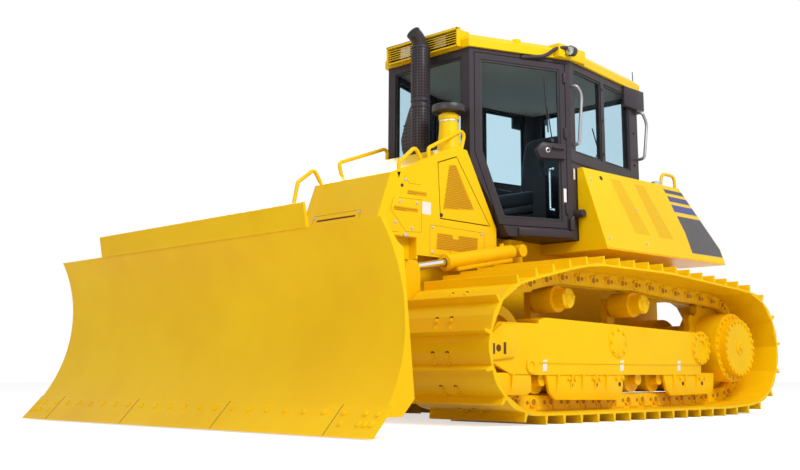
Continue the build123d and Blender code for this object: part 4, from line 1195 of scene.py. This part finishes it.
def operator_seat():
    """The pedestal, the padded cushion and backrest with their piping, and the backrest's shell."""
    piece("seat_pedestal", moulded_plastic, [
        box(-1140, -680, -230, 230, 1467, 1700), box(-1170, -650, -262, 262, 1700, 1764)], bevel=14)
    padding = (("seat_cushion", pillow(CUSHION_MIDDLE, CUSHION_HALF, 0.34)),
               ("seat_backrest", tipped(pillow(BACKREST_MIDDLE, BACKREST_HALF, 0.36), SEAT_HINGE, SEAT_LEAN)))
    for name, shape in padding:
        piece(name, seat_cloth, [shape], stands_for="operator_seat")
    seam_z = CUSHION_MIDDLE[2]
    piece("seat_piping", rubber, [
        *(pipe([(x, y, seam_z) for y in (-200, 200)], 6, 1) for x in (-652, -1150)),
        *(pipe([(x, y, seam_z + 1) for x in (-1100, -700)], 6, 1) for y in (-257, 257))], slot="seat_fabric")
    piece("seat_back_shell", moulded_plastic, [
        tipped(box(-1190, -1150, -225, 225, 1900, 2440), SEAT_HINGE, SEAT_LEAN)], bevel=16)


def cab_controls():
    """Arm pads, joysticks, console top, monitor, air ducts and brake pedals."""
    piece("arm_pads", moulded_plastic, both(box(-1080, -700, 340, 462, 1980, 2004)), bevel=10)
    piece("joysticks", rubber, [
        turned(profile, (x, y, z), LEVER_LEAN, sides=24) for y in (-400, 400)
        for profile, x, z in ((BOOT, -625, 1980), (GRIP, -612, 2064))])
    piece("console_top", moulded_plastic, [box(120, 290, -316, 316, 2014, 2046)], bevel=9)
    piece("monitor_case", moulded_plastic, [
        tipped(box(120, 160, -280, -60, 2040, 2200), MONITOR_HINGE, MONITOR_LEAN)], bevel=8)
    piece("monitor_screen", screen_glass, [
        tipped(box(117, 121, -262, -78, 2062, 2184), MONITOR_HINGE, MONITOR_LEAN)])
    piece("cab_air_ducts", needle_felt, [
        box(-1690, -1560, -500, -330, 1467, 2090), box(-1690, -1560, 330, 500, 1467, 2090),
        box(-1695, -1600, -500, 500, 2060, 2118)], bevel=18)
    piece("brake_pedals", rubber, [
        tipped(box(-66, -50, y - 45, y + 45, 1560, 1660), (-60, y, 1560), 20) for y in (-110, 110)], bevel=4)


dress_cab_lining()
operator_seat()
cab_controls()

# ---------------------------------------------------------------- rear
GRILLE_X, GRILLE_HALF, GRILLE_Z = (-2407, -2399), 524, (1004, 1556)
SLAT_ROWS = [1052 + 38 * row for row in range(13)]
SLAT = [prism([(-233, -13, 0), (233, -13, 0), (233, 6, 0), (-233, 6, 0)], (0, 5, 7))]


def dress_rear():
    """The rear door's slatted grille and latch, the housing's bolts, the handrails and the drawbar's pins."""
    piece("rear_grille_shadow", shadowed_hole, [
        box(-2401.4, GRILLE_X[1], *sorted((turn * 20, turn * 480)), 1022, 1528) for turn in (-1, 1)],
        body="rear_door")
    set_out("rear_grille_slats", body_enamel, SLAT, (
        site((-2401, turn * 250, z), BACK, (0, -1, 0)) for z in SLAT_ROWS for turn in (-1, 1)), "rear_door")
    piece("rear_grille_frame", body_enamel, [
        *upright_frame(GRILLE_X, (-GRILLE_HALF, GRILLE_HALF), GRILLE_Z, 18, 28, 42),
        box(*GRILLE_X, -18, 18, *GRILLE_Z)], bevel=3, body="rear_door")
    piece("rear_door_latch", zinc_plate, [
        box(-2416, -2406, -512, -492, 1250, 1330),
        disc(16, 7, (GRILLE_X[0], -502, 1220), BACK, sides=24)], bevel=2, body="rear_door")
    set_out("rear_housing_bolts", zinc_plate, hexagon_bolt(18, 9), (
        site((-2331, y, z), BACK) for y in (-560, -200, 200, 560) for z in (1440, 1530)))
    piece("rear_handrails", body_enamel, both(
        pipe([(-1935, 720, 1990), (-1970, 720, 2150), (-2180, 720, 2150), (-2210, 720, 1745)], 15, 60)))
    piece("drawbar_pin", cast_iron, both(
        turned([(0, 30), (30, 30), (34, 24)], (-2440, 110, 560), UP)), bevel=1)


dress_rear()

# ---------------------------------------------------------------- blade and push frame
EDGE_BACK, EDGE_TIP = Vector((2592, 0, 170)), Vector((2740, 0, 8))  # the cutting edge's face, from the side
EDGE_RUN = (EDGE_TIP - EDGE_BACK).normalized()
EDGE_OUT = Vector((-EDGE_RUN.z, 0, EDGE_RUN.x))
if EDGE_OUT.z < 0:
    EDGE_OUT.negate()
END_BIT_BOLTS = ((1880, 60), (1880, 130), (1830, 130), (1780, 130), (1640, 130))  # y, and how far down
EDGE_JOINTS = (-1562, -522, 518, 1558)
BACK_RIBS = (820, 1110, 1390, 1650)
RIB_FRONT, RIB_THICK = 2404, 16
RIB_BACK_X, RIB_BACK_Y, RIB_TAPER = 2255, 760, 0.135  # x of a rib's back at that y, and how fast it grows
TRUNNION = (-420, 590, 520)


def on_edge(y, down):
    """A place on the cutting edge's face."""
    return EDGE_BACK + EDGE_RUN * down + Vector((0, y, 0))


def edge_joint(y):
    """The dark line between two sections of the cutting edge."""
    low = EDGE_TIP - EDGE_RUN * 5
    loop = [place + EDGE_OUT * 0.2 + Vector((0, y + aside, 0))
            for place, aside in ((EDGE_BACK, 0), (EDGE_BACK, 4), (low, 4), (low, 0))]
    return prism(loop, EDGE_OUT * 0.8)


def back_rib(y):
    """A web on the moldboard's back, shallower towards the blade's ends."""
    back = RIB_BACK_X + (y - RIB_BACK_Y) * RIB_TAPER
    return side_plate(((back, 300), (RIB_FRONT, 236), (RIB_FRONT, 960), (back, 860)), y, RIB_THICK)


def dress_blade():
    """The cutting edge's bolts and joints, the moldboard's ribs, and the push frame's trunnions."""
    spots = [(-1785 + 170 * n, 58) for n in range(22)]
    spots += [(turn * y, down) for turn in (-1, 1) for y, down in END_BIT_BOLTS]
    set_out("edge_bolts", chassis_enamel, [
        turned([(0, 19), (5, 19), (9, 13), (10, 6)], ORIGIN, UP, sides=20)], (
        site(on_edge(y, down), EDGE_OUT, EDGE_RUN) for y, down in spots), "blade")
    piece("edge_joints", shadowed_hole, [edge_joint(y) for y in EDGE_JOINTS], body="blade")
    piece("blade_back_ribs", chassis_enamel, both(*map(back_rib, BACK_RIBS)), bevel=3, body="blade")
    set_out("trunnion_bolts", chassis_enamel, hexagon_bolt(26, 14), rings_both((TRUNNION, 70, 8, 0.0)),
            "push_frame")
    piece("trunnion_caps", chassis_enamel, both(
        turned([(-1, 88), (8, 88), (11, 84), (11, 50), (18, 46)], TRUNNION, LEFT, sides=48)),
        body="push_frame")


def cylinder_fittings(label, body, start, end, closed_share, barrel_r, rod_r):
    """The gland with its wiper ring at the barrel's mouth, and two ports."""
    start, end = Vector(start), Vector(end)
    axis = (end - start).normalized()
    mouth = start + (end - start) * closed_share
    piece(f"{label}_gland", chassis_enamel, [
        turned([(-46, barrel_r - 1), (-44, barrel_r + 7), (-4, barrel_r + 7), (0, barrel_r + 3),
                (1, rod_r + 6)], mouth, axis, sides=40)], body=body)
    piece(f"{label}_wiper_ring", rubber, [
        turned([(0, rod_r + 5), (4, rod_r + 4), (7, rod_r + 0.6)], mouth, axis, sides=32)], body=body)
    up = (Vector(UP) - axis * axis.z).normalized()
    ports = []
    for along in (190, (mouth - start).length - 90):
        foot = start + axis * along + up * (barrel_r - 3)
        ports += [disc(17, 12, foot, up, sides=20), disc(19, 10, foot + up * 11, up, sides=6)]
    piece(f"{label}_ports", chassis_enamel, ports, body=body)


LIFT_PIVOT, LIFT_EYE = (-65, 573, 1290), (1145, 573, 1070)
LIFT_AXIS = (Vector(LIFT_EYE) - Vector(LIFT_PIVOT)).normalized()
TUBE_GUARD = ((48, -46), (78, -40), (78, 40), (48, 46))  # below the barrel's axis, and across it
ANGLE_PIVOT, ANGLE_EYE = (1330, 575, 690), (2165, 430, 690)
TILT_PIVOT, TILT_EYE = (2225, -30, 830), (2225, 640, 830)


def dress_cylinders(label, turn):
    """The lift and angle cylinders of one side, with the lift cylinder's pin caps and tube guard."""
    def here(place):
        """The left side's place on this side."""
        return place[0], turn * place[1], place[2]
    lift_barrel, lift_rod = f"lift_barrel_{label}", f"lift_rod_{label}"
    cylinder_fittings(f"lift_{label}", lift_barrel, here(LIFT_PIVOT), here(LIFT_EYE), 0.7, 58, 28)
    cylinder_fittings(f"angle_{label}", "push_frame", here(ANGLE_PIVOT), here(ANGLE_EYE), 0.64, 42, 22)
    piece(f"lift_pin_cap_{label}", chassis_enamel, [
        turned([(0, 46), (14, 46), (18, 40)], here((-65, 598, 1290)), (0, turn, 0), sides=36)],
        body=lift_barrel)
    piece(f"lift_eye_cap_{label}", chassis_enamel, [
        turned([(0, 38), (3, 38), (5, 34)], here((1145, 599, 1070)), (0, turn, 0), sides=36)],
        body=lift_rod)
    below = Vector((LIFT_AXIS.z, 0, -LIFT_AXIS.x))
    foot = Vector(here((60, 573, 1267)))
    piece(f"lift_tube_guard_{label}", chassis_enamel, [
        prism([foot + below * a + Vector((0, b, 0)) for a, b in TUBE_GUARD], LIFT_AXIS * 640)],
        bevel=6, body=lift_barrel)


dress_blade()
for label, turn in SIDES:
    dress_cylinders(label, turn)
cylinder_fittings("tilt", "tilt_barrel", TILT_PIVOT, TILT_EYE, 0.55, 42, 22)


# ---------------------------------------------------------------- studio
def seen_directly(tree):
    """1 for what the camera sees straight, in a mirror or through glass, and 0 for light that bounces."""
    ray = add(tree, "ShaderNodeLightPath").outputs
    straight = maths(tree, "MAXIMUM", ray["Is Camera Ray"], ray["Is Glossy Ray"])
    return maths(tree, "MAXIMUM", straight, ray["Is Transmission Ray"])


def studio_white(name, shade, lift):
    """Matt white paper. What is seen of it directly is lifted towards plain white; its shadow stays."""
    material, tree, output = finish_named(name)
    glow = maths(tree, "MULTIPLY", seen_directly(tree), lift)
    matt = add(tree, "ShaderNodeBsdfDiffuse", {"Color": linear(shade)})
    light = add(tree, "ShaderNodeEmission", {"Color": linear("#FFFFFF"), "Strength": glow})
    joined = add(tree, "ShaderNodeAddShader", {0: matt.outputs[0], 1: light.outputs[0]})
    tree.links.new(joined.outputs[0], output.inputs["Surface"])
    return material


FLOOR_REACH_M = 40.0


def floor():
    """A wide sheet of white paper under the machine."""
    mesh = bpy.data.meshes.new("studio_floor")
    corners = [(x * FLOOR_REACH_M, y * FLOOR_REACH_M, 0) for x, y in ((-1, -1), (1, -1), (1, 1), (-1, 1))]
    mesh.from_pydata(corners, [], [(0, 1, 2, 3)])
    mesh.materials.append(studio_white("white_paper_floor", "#E6E6E6", 0.62))
    linked("studio_floor", mesh)


def air():
    """Even white light from all round, brighter where it is seen directly."""
    world = bpy.data.worlds.new("studio_air")
    bpy.context.scene.world = world
    world.use_nodes = True
    tree = world.node_tree
    tree.nodes.clear()
    level = spread(tree, seen_directly(tree), 0.42, 1.0)
    backdrop = add(tree, "ShaderNodeBackground", {"Color": linear("#FFFFFF"), "Strength": level})
    add(tree, "ShaderNodeOutputWorld", {"Surface": backdrop.outputs[0]})


def softbox(name, place, target, size, watts):
    """A soft lamp of that size in metres, turned towards its target."""
    lamp = bpy.data.lights.new(name, "AREA")
    lamp.shape, lamp.size, lamp.size_y, lamp.energy = "RECTANGLE", size[0], size[1], watts
    holder = linked(name, lamp)
    holder.location = place
    holder.rotation_euler = (Vector(target) - Vector(place)).to_track_quat("-Z", "Y").to_euler()


def studio_camera():
    """A low camera ahead of the blade and to its left, tipped a little upwards."""
    camera = bpy.data.cameras.new("studio_camera")
    camera.lens, camera.sensor_width = 48.24, 36.0
    camera.shift_x, camera.shift_y = -0.042, -0.0914
    camera.clip_end = 200
    stand = linked("studio_camera", camera)
    stand.location = (6.468, 6.032, 0.325)
    heading, pitch = math.radians(224.40), math.radians(11.236)
    flat = math.cos(pitch)
    ahead = Vector((math.cos(heading) * flat, math.sin(heading) * flat, math.sin(pitch)))
    stand.rotation_euler = ahead.to_track_quat("-Z", "Y").to_euler()
    bpy.context.scene.camera = stand


floor()
air()
softbox("key_softbox", (1.5, 9.0, 8.5), (0, 0, 1.2), (6, 4), 800)
softbox("front_softbox", (10.0, 2.0, 4.0), (1.5, 0, 1.0), (5, 4), 160)
softbox("far_softbox", (-4.0, -8.0, 7.0), (0, 0, 1.5), (5, 4), 260)
studio_camera()
bpy.context.scene.view_settings.view_transform = "Standard"
